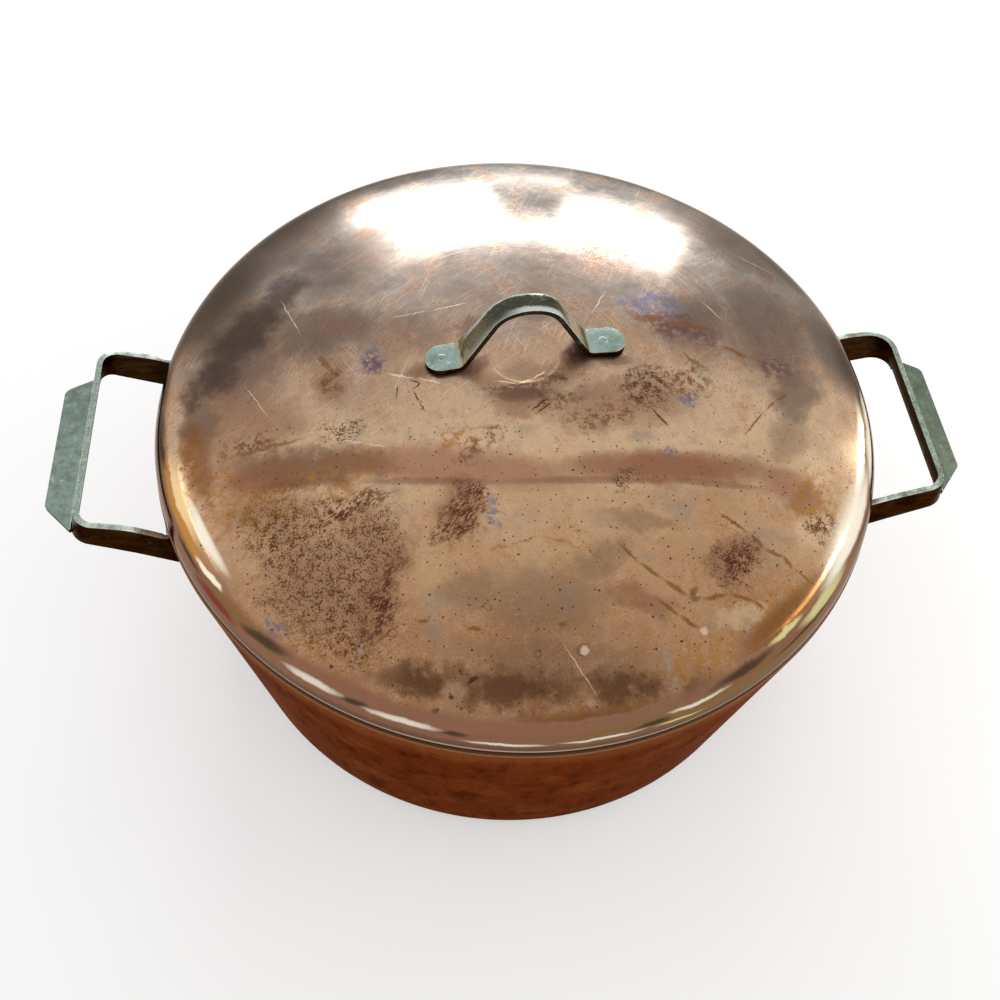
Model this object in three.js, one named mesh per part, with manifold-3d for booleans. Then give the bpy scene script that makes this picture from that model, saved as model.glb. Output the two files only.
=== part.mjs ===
// A copper stockpot with a domed lift-off lid. Brass strap handles are riveted to its sides and
// a small brass strap handle is riveted to the lid. Lengths are in millimetres and +Z is up. The
// origin is the centre of the pot's base, and the side handles lie along X.

import * as THREE from "three";
import { mergeVertices } from "three/addons/utils/BufferGeometryUtils.js";
import Module from "manifold-3d";

const wasm = await Module();
wasm.setup();

// Pot: the wall widens from the base to the rim.
const potHeight = 121.2;
const rimRadius = 141.8;
const baseRadius = 125.1;
const baseCornerRadius = 11;
const potWall = 2;
const rimWidth = 2.8;
const rimDepth = 3.5;

// Lid: a spun dome with a round shoulder and a curled edge that rests on the rim.
const lidInset = 0.6;
const lidWall = 1.5;
const shoulderRadius = 13;
const curlRadius = 4;
const curlAngle = 53;
const domeRise = 36.4;
const spotRadius = 14;
const spotDepth = 0.4;

// Collar: the plain ring inside the lid that drops into the pot.
const collarDepth = 14;
const collarWall = 1.4;
const collarPlay = 1.2;

// Side handles: a brass strap bent to a loop, with a flange folded out along the grip. The two
// are bent by hand, so they differ a little, and so do the front and back arm of each: the upward
// bow of the arm, the bend at the grip, and the slanting end of the flange.
const strapThickness = 2.3;
const gripLean = 3.4;
const gripPinch = 0.9;
const armBelowRim = 12.8;
const armHalfSpread = 43.6;
const footHeight = 17.5;
const footLength = 28.5;
const rootRadius = 4;
const bowRadius = 30;
const lowerBowShare = 0.3;
const flangeWidth = 10.3;
const flangeThickness = 2;
const foldRadius = 3;
const foldLap = 0.4;
const leftHandle = {
  name: "left",
  turn: 180.7,
  standOff: 26.8,
  halfGrip: 42.9,
  gripHeight: 11.2,
  belowRim: -1,
  front: { bow: 3, bend: 7, flangeSetback: 4.2, flangeTaper: 11, flangeCorner: 3 },
  back: { bow: 1.5, bend: 9, flangeSetback: 9.6, flangeTaper: 5, flangeCorner: 4 },
};
const rightHandle = {
  name: "right",
  turn: -0.5,
  standOff: 25.8,
  halfGrip: 41.6,
  gripHeight: 13.1,
  belowRim: 2,
  front: { bow: 0.5, bend: 7, flangeSetback: 4.9, flangeTaper: 12, flangeCorner: 3 },
  back: { bow: 2, bend: 12, flangeSetback: 8.5, flangeTaper: 6, flangeCorner: 4 },
};

// Rivets of the side handles: two through each foot.
const sideRivet = { shank: 2.4, innerHead: 4.7, innerRise: 1.4, outerHead: 4.2, outerRise: 1.8 };
const rivetFromTip = 8;
const rivetSpacing = 10.5;

// Lid handle: a narrower strap with an arched grip and two flat round feet.
const lidStrapThickness = 2.1;
const lidHandleTurn = 5.8;
const lidHandleShift = 1.6;
const lidLeftTip = 37.6;
const lidRightTip = 39.9;
const lidFootWidth = 12.6;
const lidCrownWidth = 8.5;
const lidLegFoot = 24.6;
const lidLegTop = 10.8;
const lidShoulderRise = 24.4;
const lidCrownRise = 27.6;
const lidFootBendRadius = 3;
const lidShoulderBendRadius = 13;
const lidCrownBendRadius = 20;
const lidRivet = { shank: 1.7, innerHead: 4.2, innerRise: 1.4, outerHead: 1.7, outerRise: 0.25 };
const lidRivetRadius = 31;

// Clearances between pieces that touch, and the number of steps in curves.
const seatGap = 0.3;
const rivetGap = 0.25;
const roundSteps = 64;
const rivetSteps = 12;
const bendSteps = 6;
const tipSteps = 6;

const copper = new THREE.MeshStandardMaterial({ color: 0x9a6a4c, metalness: 1, roughness: 0.35 });
const tin = new THREE.MeshStandardMaterial({ color: 0xb9b4ab, metalness: 1, roughness: 0.45 });
const brass = new THREE.MeshStandardMaterial({ color: 0x8d8f74, metalness: 1, roughness: 0.4 });

const upward = new THREE.Vector3(0, 0, 1);
const lidRadius = rimRadius - lidInset;
const taper = Math.atan2(rimRadius - baseRadius, potHeight);

// Outer radius of the pot's wall at a height above the base.
function wallRadius(z) {
  return baseRadius + (z * (rimRadius - baseRadius)) / potHeight;
}

// The lid's shoulder is an arc about (shoulderX, shoulderZ), and the dome is the sphere that is
// tangent to it and rises to domeRise above the rim.
const shoulderX = lidRadius - shoulderRadius;
const shoulderZ = seatGap + curlRadius * Math.sin(THREE.MathUtils.degToRad(curlAngle));
const domeDrop = domeRise - shoulderZ;
const domeRadius =
  (shoulderX ** 2 + domeDrop ** 2 - shoulderRadius ** 2) / (2 * (domeDrop - shoulderRadius));
const shoulderAngle = Math.atan2(domeRadius - domeDrop, shoulderX);

// Height of the dome's outer face above the rim plane at a distance from the axis.
function domeHeight(r) {
  return domeRise - domeRadius + Math.sqrt(domeRadius ** 2 - r ** 2);
}

function blend(a, b, share) {
  return a + (b - a) * share;
}

// A vector turned part of the way from one direction to another that is `angle` away.
function turned(from, to, angle, share) {
  if (angle < 1e-6) return from.clone();
  return from
    .clone()
    .multiplyScalar(Math.sin((1 - share) * angle) / Math.sin(angle))
    .addScaledVector(to, Math.sin(share * angle) / Math.sin(angle));
}

// Rounds each corner of a path by its own radius and keeps the direction of travel at each point.
function roundedPath(corners) {
  const stations = [];
  corners.forEach((corner, i) => {
    const before = corners[i - 1];
    const after = corners[i + 1];
    const arriving = corner.at.clone().sub((before ?? corner).at);
    const leaving = (after ?? corner).at.clone().sub(corner.at);
    if (!before) arriving.copy(leaving);
    if (!after) leaving.copy(arriving);
    arriving.normalize();
    leaving.normalize();
    if (!corner.radius) {
      stations.push({ point: corner.at, along: arriving.add(leaving).normalize() });
      return;
    }
    const angle = arriving.angleTo(leaving);
    const setback = corner.radius * Math.tan(angle / 2);
    const centre = leaving
      .clone()
      .sub(arriving)
      .setLength(corner.radius / Math.cos(angle / 2))
      .add(corner.at);
    const first = corner.at.clone().addScaledVector(arriving, -setback).sub(centre);
    const last = corner.at.clone().addScaledVector(leaving, setback).sub(centre);
    for (let step = 0; step <= bendSteps; step += 1) {
      const share = step / bendSteps;
      stations.push({
        point: turned(first, last, angle, share).add(centre),
        along: turned(arriving, leaving, angle, share),
      });
    }
  });
  return stations;
}

// Points of an arc in the profile plane, from one angle to another in degrees.
function arc(x, y, radius, from, to, steps) {
  return Array.from({ length: steps + 1 }, (_, i) => {
    const angle = THREE.MathUtils.degToRad(blend(from, to, i / steps));
    return new THREE.Vector2(x + radius * Math.cos(angle), y + radius * Math.sin(angle));
  });
}

// Turns a profile of (radius, height) points about the Z axis.
function revolved(profile, steps) {
  return new THREE.LatheGeometry(profile, steps).rotateX(Math.PI / 2);
}

// Joins rings of points into a closed solid with a flat cap at each end.
function lofted(rings) {
  const sides = rings[0].length;
  const index = [];
  for (let i = 0; i < rings.length - 1; i += 1) {
    for (let j = 0; j < sides; j += 1) {
      const a = i * sides + j;
      const b = i * sides + ((j + 1) % sides);
      index.push(a, b, b + sides, a, b + sides, a + sides);
    }
  }
  const last = (rings.length - 1) * sides;
  for (let j = 1; j < sides - 1; j += 1) {
    index.push(0, j + 1, j);
    index.push(last, last + j, last + j + 1);
  }
  const geometry = new THREE.BufferGeometry().setFromPoints(rings.flat());
  geometry.setIndex(index);
  return geometry;
}

// A strap between two edges: its outer face joins them, and its thickness lies behind that face.
// edgeA is on the side that widthDirection points to.
function strap(edgeA, edgeB, thickness, widthDirection) {
  return lofted(
    edgeA.map((a, i) => {
      const b = edgeB[i];
      const inward = (station) =>
        station.along
          .clone()
          .cross(widthDirection)
          .setLength(-thickness)
          .add(station.point);
      return [a.point, b.point, inward(b), inward(a)];
    }),
  );
}

function solidOf(geometry) {
  const bare = geometry.clone();
  bare.deleteAttribute("normal");
  bare.deleteAttribute("uv");
  const merged = mergeVertices(bare, 1e-4);
  return new wasm.Manifold(
    new wasm.Mesh({
      numProp: 3,
      vertProperties: new Float32Array(merged.attributes.position.array),
      triVerts: new Uint32Array(merged.index.array),
    }),
  );
}

function geometryOf(solid) {
  const mesh = solid.getMesh();
  const geometry = new THREE.BufferGeometry();
  geometry.setAttribute("position", new THREE.BufferAttribute(mesh.vertProperties, 3));
  geometry.setIndex(new THREE.BufferAttribute(mesh.triVerts, 1));
  geometry.computeVertexNormals();
  return geometry;
}

function cut(geometry, tools) {
  return geometryOf(tools.reduce((solid, tool) => solid.subtract(solidOf(tool)), solidOf(geometry)));
}

function named(name, geometry, material) {
  const mesh = new THREE.Mesh(geometry, material);
  mesh.name = name;
  return mesh;
}

// Pot body: one spun shell with a thicker rim.
function potProfile() {
  const wallAcross = potWall / Math.cos(taper);
  const lean = THREE.MathUtils.radToDeg(taper);
  const cornerCentre = (radius, inset) => {
    const z = radius + inset;
    const wallFace = wallRadius(z) - inset / Math.cos(taper);
    return new THREE.Vector2(wallFace - radius / Math.cos(taper), z);
  };
  const outer = cornerCentre(baseCornerRadius, 0);
  const inner = cornerCentre(baseCornerRadius - potWall, potWall);
  return [
    new THREE.Vector2(0, 0),
    ...arc(outer.x, outer.y, baseCornerRadius, -90, -lean, 8),
    new THREE.Vector2(rimRadius, potHeight - 0.5),
    new THREE.Vector2(rimRadius - 0.5, potHeight),
    new THREE.Vector2(rimRadius - rimWidth, potHeight),
    new THREE.Vector2(rimRadius - rimWidth, potHeight - rimDepth / 2),
    new THREE.Vector2(wallRadius(potHeight - rimDepth) - wallAcross, potHeight - rimDepth),
    ...arc(inner.x, inner.y, baseCornerRadius - potWall, -lean, -90, 6),
    new THREE.Vector2(0, potWall),
  ];
}

// Lid shell: an edge curled in to the rim, a round shoulder and a dome with a flat spun centre.
function lidProfile() {
  const shoulder = THREE.MathUtils.radToDeg(shoulderAngle);
  const spot = THREE.MathUtils.radToDeg(Math.acos(spotRadius / domeRadius));
  const layer = (inset) => [
    ...arc(lidRadius - curlRadius, shoulderZ, curlRadius - inset, -curlAngle, 0, 4),
    ...arc(shoulderX, shoulderZ, shoulderRadius - inset, 0, shoulder, 8).slice(1),
    ...arc(0, domeRise - domeRadius, domeRadius - inset, shoulder, spot, 8).slice(1),
    new THREE.Vector2(spotRadius - 1, domeRise - inset - spotDepth),
    new THREE.Vector2(0, domeRise - inset - spotDepth),
  ];
  const outside = layer(0);
  return [...outside, ...layer(lidWall).reverse(), outside[0]];
}

// Collar: a ring that ends just under the inside of the lid's shoulder.
function collarProfile() {
  const outer = wallRadius(potHeight - collarDepth) - potWall / Math.cos(taper) - collarPlay;
  const inner = outer - collarWall;
  const roofAngle = Math.acos((outer - shoulderX) / (shoulderRadius - lidWall));
  const top = shoulderZ + (shoulderRadius - lidWall - seatGap) * Math.sin(roofAngle);
  return [
    [inner + 0.4, -collarDepth],
    [outer - 0.4, -collarDepth],
    [outer, -collarDepth + 0.4],
    [outer, top],
    [inner, top],
    [inner, -collarDepth + 0.4],
    [inner + 0.4, -collarDepth],
  ].map(([r, z]) => new THREE.Vector2(r, z));
}

// The arms of a side handle from its -Y side to its +Y side. The left handle is turned round, so
// its back arm comes first.
function armsOf(handle) {
  return handle === leftHandle ? [handle.back, handle.front] : [handle.front, handle.back];
}

// One edge of a side handle's strap: foot, arm, grip, arm, foot. The loop is turned inwards at
// the wall, so both feet lie inside the loop, flat on the pot.
function sideHandleEdge(handle, atTop) {
  const { standOff, halfGrip, belowRim, gripHeight } = handle;
  const middle = potHeight - armBelowRim - footHeight / 2;
  const sign = atTop ? 1 : -1;
  const tipRadius = footHeight / 2;
  const onWall = (fromTip, z) => {
    const radius = wallRadius(z) + seatGap / Math.cos(taper);
    const rootAngle = Math.asin(armHalfSpread / radius);
    const angle = rootAngle - (footLength - fromTip) / radius;
    return new THREE.Vector3(radius * Math.cos(angle), -radius * Math.sin(angle), z);
  };
  const tip = Array.from({ length: tipSteps + 1 }, (_, i) => {
    const angle = THREE.MathUtils.degToRad(blend(12, 90, i / tipSteps));
    const fromTip = tipRadius * (1 - Math.cos(angle));
    return { at: onWall(fromTip, middle + sign * tipRadius * Math.sin(angle)) };
  });
  const edgeZ = middle + sign * tipRadius;
  const foot = [0.4, 0.7].map((share) => ({
    at: onWall(blend(tipRadius, footLength, share), edgeZ),
  }));
  const root = { at: onWall(footLength, edgeZ), radius: rootRadius };
  const gripTop = new THREE.Vector3(rimRadius + standOff, -halfGrip, potHeight - belowRim);
  const gripBottom = gripTop.clone().add(new THREE.Vector3(gripLean, gripPinch, -gripHeight));
  const grip = atTop ? gripTop : gripBottom;
  const [first, last] = armsOf(handle).map(({ bow, bend }) => {
    const middleOfArm = root.at.clone().lerp(grip, 0.45);
    middleOfArm.z += atTop ? bow : bow * lowerBowShare;
    return [...tip, ...foot, root, { at: middleOfArm, radius: bowRadius }, { at: grip, radius: bend }];
  });
  const mirrored = last.map(({ at, radius }) => ({
    at: new THREE.Vector3(at.x, -at.y, at.z),
    radius,
  }));
  return roundedPath([...first, ...mirrored.reverse()]);
}

// A flat outline of corners, some of them rounded, drawn out to a depth.
function prism(corners, depth) {
  const path = roundedPath(
    corners.map(([x, y, radius]) => ({ at: new THREE.Vector3(x, y, 0), radius })),
  );
  const shape = new THREE.Shape(path.map(({ point }) => new THREE.Vector2(point.x, point.y)));
  return new THREE.ExtrudeGeometry(shape, { depth, bevelEnabled: false });
}

// The flange is folded out of the grip's lower edge. The section of the fold runs along the grip,
// takes the place of the strap's lower part between the bends, and is trimmed to an outline with
// slanting ends.
function withFlange(loop, handle) {
  const { standOff, halfGrip, belowRim, gripHeight } = handle;
  const bottom = potHeight - belowRim - gripHeight;
  const above = bottom + 2 * foldRadius;
  const top = bottom + flangeThickness;
  const faceAt = (z) => rimRadius + standOff + (gripLean * (bottom + gripHeight - z)) / gripHeight;
  const backAt = (z) => faceAt(z) - strapThickness;
  const outer = faceAt(bottom) + flangeWidth;
  const [start, end] = armsOf(handle).map(({ bend, flangeSetback, flangeTaper, flangeCorner }, i) => {
    const sign = i ? 1 : -1;
    const long = halfGrip - flangeSetback;
    return {
      straight: sign * (halfGrip - Math.max(bend, flangeSetback)),
      long: sign * long,
      short: sign * (long - flangeTaper),
      corner: flangeCorner,
    };
  });
  const fold = prism(
    [
      [backAt(above), above],
      [backAt(bottom), bottom, foldRadius],
      [outer, bottom],
      [outer, top],
      [faceAt(top), top, foldRadius - flangeThickness],
      [faceAt(above), above],
    ],
    end.long - start.long,
  );
  const outline = prism(
    [
      [backAt(above) - foldLap, start.straight],
      [faceAt(bottom), start.long],
      [outer, start.short, start.corner],
      [outer, end.short, end.corner],
      [faceAt(bottom), end.long],
      [backAt(above) - foldLap, end.straight],
    ],
    2 * foldRadius + 2 * foldLap,
  );
  const roomLength = end.straight - start.straight - 2 * foldLap;
  const room = new THREE.BoxGeometry(strapThickness + 2 * gripLean, roomLength, above - bottom);
  const middle = (start.straight + end.straight) / 2;
  const replaced = solidOf(room.translate(backAt(bottom), middle, (bottom + above) / 2 - foldLap));
  const folded = solidOf(fold.rotateX(Math.PI / 2).translate(0, end.long, 0));
  const trimmed = folded.intersect(solidOf(outline.translate(0, 0, bottom - foldLap)));
  return geometryOf(solidOf(loop).subtract(replaced).add(trimmed));
}

// Where the rivets of one side handle go through the wall, with the wall's outward direction.
function sideRivetPlaces() {
  const z = potHeight - armBelowRim - footHeight / 2;
  const radius = wallRadius(z);
  const rootAngle = Math.asin(armHalfSpread / radius);
  const places = [];
  for (const hand of [-1, 1]) {
    for (const fromTip of [rivetFromTip, rivetFromTip + rivetSpacing]) {
      const angle = hand * (rootAngle - (footLength - fromTip) / radius);
      const out = new THREE.Vector3(Math.cos(angle), Math.sin(angle), -Math.tan(taper)).normalize();
      const at = new THREE.Vector3(radius * Math.cos(angle), radius * Math.sin(angle), z);
      places.push({ at, out });
    }
  }
  return places;
}

function lidRivetPlaces() {
  return [-1, 1].map((hand) => {
    const at = new THREE.Vector3(hand * lidRivetRadius, 0, domeHeight(lidRivetRadius));
    const out = new THREE.Vector3(at.x, 0, domeRadius - domeRise + at.z).normalize();
    return { at, out };
  });
}

// A set rivet: a flat head behind the sheet, a shank, and a low round head over the strap.
function rivetGeometry({ shank, innerHead, innerRise, outerHead, outerRise }, sheet, over) {
  const back = -sheet - seatGap;
  const front = seatGap + over + (outerHead > shank ? seatGap : 0);
  const profile = [
    [0, back - innerRise],
    [innerHead * 0.8, back - innerRise],
    [innerHead, back - innerRise * 0.5],
    [innerHead, back],
    [shank, back],
    [shank, front],
    [outerHead, front],
    [outerHead * 0.9, front + outerRise * 0.5],
    [outerHead * 0.6, front + outerRise * 0.9],
    [0, front + outerRise],
  ];
  const points = profile
    .filter(([r, z], i) => i === 0 || r !== profile[i - 1][0] || z !== profile[i - 1][1])
    .map(([r, z]) => new THREE.Vector2(r, z));
  return revolved(points, rivetSteps);
}

function rivetHole({ shank }, reachBack, reachFront) {
  return revolved(
    [
      [0, -reachBack],
      [shank + rivetGap, -reachBack],
      [shank + rivetGap, reachFront],
      [0, reachFront],
    ].map(([r, z]) => new THREE.Vector2(r, z)),
    rivetSteps,
  );
}

function placed(geometry, { at, out }) {
  const turn = new THREE.Quaternion().setFromUnitVectors(upward, out);
  return geometry.applyQuaternion(turn).translate(at.x, at.y, at.z);
}

// One edge of the lid handle's strap, from foot to foot over the arch.
function lidHandleEdge(sign) {
  const footTop = (x) => domeHeight(x) + seatGap + lidStrapThickness;
  const tipRadius = lidFootWidth / 2;
  const halfWidth = (z) => {
    const share = THREE.MathUtils.clamp((z - domeRise) / lidCrownRise, 0, 1);
    return blend(lidFootWidth, lidCrownWidth, share) / 2;
  };
  const bend = (x, z, radius) => ({ at: new THREE.Vector3(x, sign * halfWidth(z), z), radius });
  const side = (hand, reach) => {
    const tip = Array.from({ length: tipSteps + 1 }, (_, i) => {
      const angle = THREE.MathUtils.degToRad(blend(12, 90, i / tipSteps));
      const x = hand * (reach - tipRadius * (1 - Math.cos(angle)));
      return { at: new THREE.Vector3(x, sign * tipRadius * Math.sin(angle), footTop(x)) };
    });
    return [
      ...tip,
      bend(hand * lidLegFoot, footTop(lidLegFoot), lidFootBendRadius),
      bend(hand * lidLegTop, domeRise + lidShoulderRise, lidShoulderBendRadius),
    ];
  };
  const crown = bend(0, domeRise + lidCrownRise, lidCrownBendRadius);
  return roundedPath([...side(-1, lidLeftTip), crown, ...side(1, lidRightTip).reverse()]);
}

const stockpot = new THREE.Group();
const lid = new THREE.Group();
lid.position.z = potHeight;
stockpot.add(lid);

const holeReach = strapThickness + potWall + 4;
const wallHoles = [];

for (const handle of [leftHandle, rightHandle]) {
  const loop = strap(
    sideHandleEdge(handle, true),
    sideHandleEdge(handle, false),
    strapThickness,
    upward,
  );
  const whole = withFlange(loop, handle);
  const holes = sideRivetPlaces().map((place) =>
    placed(rivetHole(sideRivet, holeReach, holeReach), place),
  );
  const group = new THREE.Group();
  group.rotation.z = THREE.MathUtils.degToRad(handle.turn);
  group.add(named(`handle_${handle.name}`, cut(whole, holes), brass));
  sideRivetPlaces().forEach((place, i) => {
    const geometry = placed(rivetGeometry(sideRivet, potWall, strapThickness), place);
    group.add(named(`rivet_${handle.name}_${i + 1}`, geometry, brass));
  });
  wallHoles.push(...holes.map((hole) => hole.clone().rotateZ(group.rotation.z)));
  stockpot.add(group);
}

stockpot.add(named("pot_body", cut(revolved(potProfile(), roundSteps), wallHoles), copper));

// The lid handle and its rivets share one turned and shifted group, and so do the lid's holes.
const lidHandle = new THREE.Group();
lidHandle.rotation.z = THREE.MathUtils.degToRad(lidHandleTurn);
lidHandle.position.y = lidHandleShift;
lidHandle.updateMatrix();

const lidHoles = lidRivetPlaces().map((place) =>
  placed(rivetHole(lidRivet, lidWall + 4, lidStrapThickness + 4), place),
);
const sideways = new THREE.Vector3(0, 1, 0);
const lidStrap = strap(lidHandleEdge(1), lidHandleEdge(-1), lidStrapThickness, sideways);
lidHandle.add(named("lid_handle", cut(lidStrap, lidHoles), brass));
lidRivetPlaces().forEach((place, i) => {
  const geometry = placed(rivetGeometry(lidRivet, lidWall, lidStrapThickness), place);
  lidHandle.add(named(`lid_rivet_${i + 1}`, geometry, brass));
});
lid.add(lidHandle);

const shellHoles = lidHoles.map((hole) => hole.clone().applyMatrix4(lidHandle.matrix));
lid.add(named("lid_shell", cut(revolved(lidProfile(), roundSteps), shellHoles), copper));
lid.add(named("lid_collar", revolved(collarProfile(), roundSteps), tin));

export default stockpot;
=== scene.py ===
# Copper stockpot with a domed lid: fine meshes, finishes, lamps and camera around the fixed frame.
# Sizes in the dictionaries are millimetres and degrees. The meshes are built in metres.

import math

import bmesh
import bpy
from mathutils import Matrix, Quaternion, Vector


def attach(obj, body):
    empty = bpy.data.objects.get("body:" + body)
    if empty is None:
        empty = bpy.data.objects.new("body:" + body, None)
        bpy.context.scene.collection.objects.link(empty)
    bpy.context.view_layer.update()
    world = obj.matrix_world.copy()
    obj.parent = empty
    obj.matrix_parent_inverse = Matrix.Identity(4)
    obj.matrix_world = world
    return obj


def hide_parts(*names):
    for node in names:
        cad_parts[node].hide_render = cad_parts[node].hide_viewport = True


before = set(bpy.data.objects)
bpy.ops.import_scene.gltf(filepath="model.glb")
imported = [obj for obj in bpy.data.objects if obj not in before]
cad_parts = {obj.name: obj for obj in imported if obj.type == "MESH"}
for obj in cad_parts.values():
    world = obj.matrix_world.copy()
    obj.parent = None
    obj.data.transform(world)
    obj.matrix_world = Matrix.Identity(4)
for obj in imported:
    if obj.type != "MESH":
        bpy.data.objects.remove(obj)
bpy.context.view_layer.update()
mm = 0.001
upward = Vector((0, 0, 1))

pot = {
    "height": 121.2,
    "rimRadius": 141.8,
    "baseRadius": 125.1,
    "cornerRadius": 11,
    "wall": 2,
    "rimWidth": 2.8,
    "rimDepth": 3.5,
    "rimRounding": 0.6,
    "floorRings": (40, 80),
    "turns": 288,
}

lid = {
    "radius": 141.2,
    "wall": 1.5,
    "shoulderRadius": 13,
    "curlRadius": 4,
    "curlAngle": 53,
    "rise": 36.4,
    "spotRadius": 14,
    "spotBlend": 1.4,
    "spotDepth": 0.4,
    "turns": 288,
}

# How far the pieces that rest on each other stand apart.
seatGap = 0.3


# The outer radius of the tapered wall at a height.
def wallRadius(z):
    return pot["baseRadius"] + z * (pot["rimRadius"] - pot["baseRadius"]) / pot["height"]


taper = math.atan2(pot["rimRadius"] - pot["baseRadius"], pot["height"])
shoulderX = lid["radius"] - lid["shoulderRadius"]
shoulderZ = seatGap + lid["curlRadius"] * math.sin(math.radians(lid["curlAngle"]))
domeDrop = lid["rise"] - shoulderZ
domeRadius = (shoulderX**2 + domeDrop**2 - lid["shoulderRadius"] ** 2) / (
    2 * (domeDrop - lid["shoulderRadius"])
)
shoulderAngle = math.degrees(math.atan2(domeRadius - domeDrop, shoulderX))


def domeHeight(r):
    return lid["rise"] - domeRadius + math.sqrt(domeRadius**2 - r**2)


def between(a, b, share):
    return a + (b - a) * share


# Points of an arc as (radius, height), from one angle to another.
def arc(x, z, radius, start, end, steps):
    angles = [math.radians(between(start, end, i / steps)) for i in range(steps + 1)]
    return [(x + radius * math.cos(a), z + radius * math.sin(a)) for a in angles]


# Angles along the quarter circle at the tip of a strap's foot.
tipAngles = [math.radians(between(12, 90, i / 12)) for i in range(13)]


# Rounds each corner (point, radius) of a path and keeps the direction of travel at each point.
def roundedPath(corners, steps=14):
    stations = []
    for i, (at, radius) in enumerate(corners):
        arriving = at - corners[i - 1][0] if i else None
        leaving = corners[i + 1][0] - at if i + 1 < len(corners) else None
        arriving = (arriving or leaving).normalized()
        leaving = (leaving or arriving).normalized()
        if not radius:
            stations.append((at, (arriving + leaving).normalized()))
            continue
        angle = arriving.angle(leaving)
        setback = radius * math.tan(angle / 2)
        centre = at + (leaving - arriving).normalized() * radius / math.cos(angle / 2)
        first = at - arriving * setback - centre
        last = at + leaving * setback - centre
        for step in range(steps + 1):
            share = step / steps
            a = math.sin((1 - share) * angle) / math.sin(angle)
            b = math.sin(share * angle) / math.sin(angle)
            stations.append((first * a + last * b + centre, arriving * a + leaving * b))
    return stations


# Makes an object from points in millimetres. Faces hold point numbers, finishes a slot per face.
def makePiece(name, points, faces, finishes=None):
    mesh = bpy.data.meshes.new(name)
    mesh.from_pydata([Vector(p) * mm for p in points], [], faces)
    if finishes:
        mesh.polygons.foreach_set("material_index", finishes)
    piece = bpy.data.objects.new(name, mesh)
    bpy.context.scene.collection.objects.link(piece)
    tidyMesh(piece)
    return piece


# Merges doubles, turns every face outwards and shades the mesh smooth except at sharp edges.
def tidyMesh(piece, sharpAngle=35):
    shape = bmesh.new()
    shape.from_mesh(piece.data)
    bmesh.ops.remove_doubles(shape, verts=shape.verts, dist=1e-7)
    bmesh.ops.recalc_face_normals(shape, faces=shape.faces)
    shape.to_mesh(piece.data)
    shape.free()
    piece.data.shade_smooth()
    piece.data.set_sharp_from_angle(angle=math.radians(sharpAngle))


# Turns a profile of (radius, height) about the Z axis. insideFrom is the first inner point.
def revolve(name, profile, turns, insideFrom=None, closed=False):
    count = len(profile)
    points, faces, finishes = [], [], []
    for t in range(turns):
        angle = 2 * math.pi * t / turns
        points += [(r * math.cos(angle), r * math.sin(angle), z) for r, z in profile]
    for t in range(turns):
        a, b = t * count, ((t + 1) % turns) * count
        for i in range(count if closed else count - 1):
            j = (i + 1) % count
            if profile[i][0] == 0 and profile[j][0] == 0:
                continue
            corners = [a + i, b + i, b + j, a + j]
            if profile[i][0] == 0:
                corners = [a + i, b + j, a + j]
            if profile[j][0] == 0:
                corners = [a + i, b + i, a + j]
            faces.append(corners)
            finishes.append(1 if insideFrom and i >= insideFrom else 0)
    return makePiece(name, points, faces, finishes)


# Joins rings of points into a closed solid with flat ends.
def loft(name, rings):
    sides = len(rings[0])
    faces = [list(range(sides))[::-1]]
    for i in range(len(rings) - 1):
        for j in range(sides):
            k = (j + 1) % sides
            faces.append([i * sides + j, i * sides + k, (i + 1) * sides + k, (i + 1) * sides + j])
    faces.append([(len(rings) - 1) * sides + j for j in range(sides)])
    return makePiece(name, [p for ring in rings for p in ring], faces)


# A strap between two edges: its outer face joins them and its thickness lies behind that face.
def strap(name, edgeA, edgeB, thickness, widthDirection):
    def behind(station):
        point, along = station
        return point - along.cross(widthDirection).normalized() * thickness

    return loft(name, [[a[0], b[0], behind(b), behind(a)] for a, b in zip(edgeA, edgeB)])


# A flat outline of corners (x, y, radius) drawn out along an axis.
def prism(name, corners, low, high, axis="Z"):
    flat = [p for p, _ in roundedPath([(Vector((x, y, 0)), r) for x, y, r in corners])]
    rings = [[(p.x, p.y, z) if axis == "Z" else (p.x, z, p.y) for p in flat] for z in (low, high)]
    return loft(name, rings)


# Cuts with, joins or keeps the overlap of a tool, which is used up.
def combine(piece, tool, operation):
    change = piece.modifiers.new(operation, "BOOLEAN")
    change.operation = operation
    change.solver = "EXACT"
    change.object = tool
    applyChanges(piece)
    bpy.data.objects.remove(tool)


def applyChanges(piece):
    graph = bpy.context.evaluated_depsgraph_get()
    mesh = bpy.data.meshes.new_from_object(piece.evaluated_get(graph))
    piece.modifiers.clear()
    piece.data = mesh


def softenEdges(piece, width, segments=3, angle=40):
    bevel = piece.modifiers.new("edges", "BEVEL")
    bevel.width = width * mm
    bevel.segments = segments
    bevel.limit_method = "ANGLE"
    bevel.angle_limit = math.radians(angle)
    applyChanges(piece)
    tidyMesh(piece)


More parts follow.
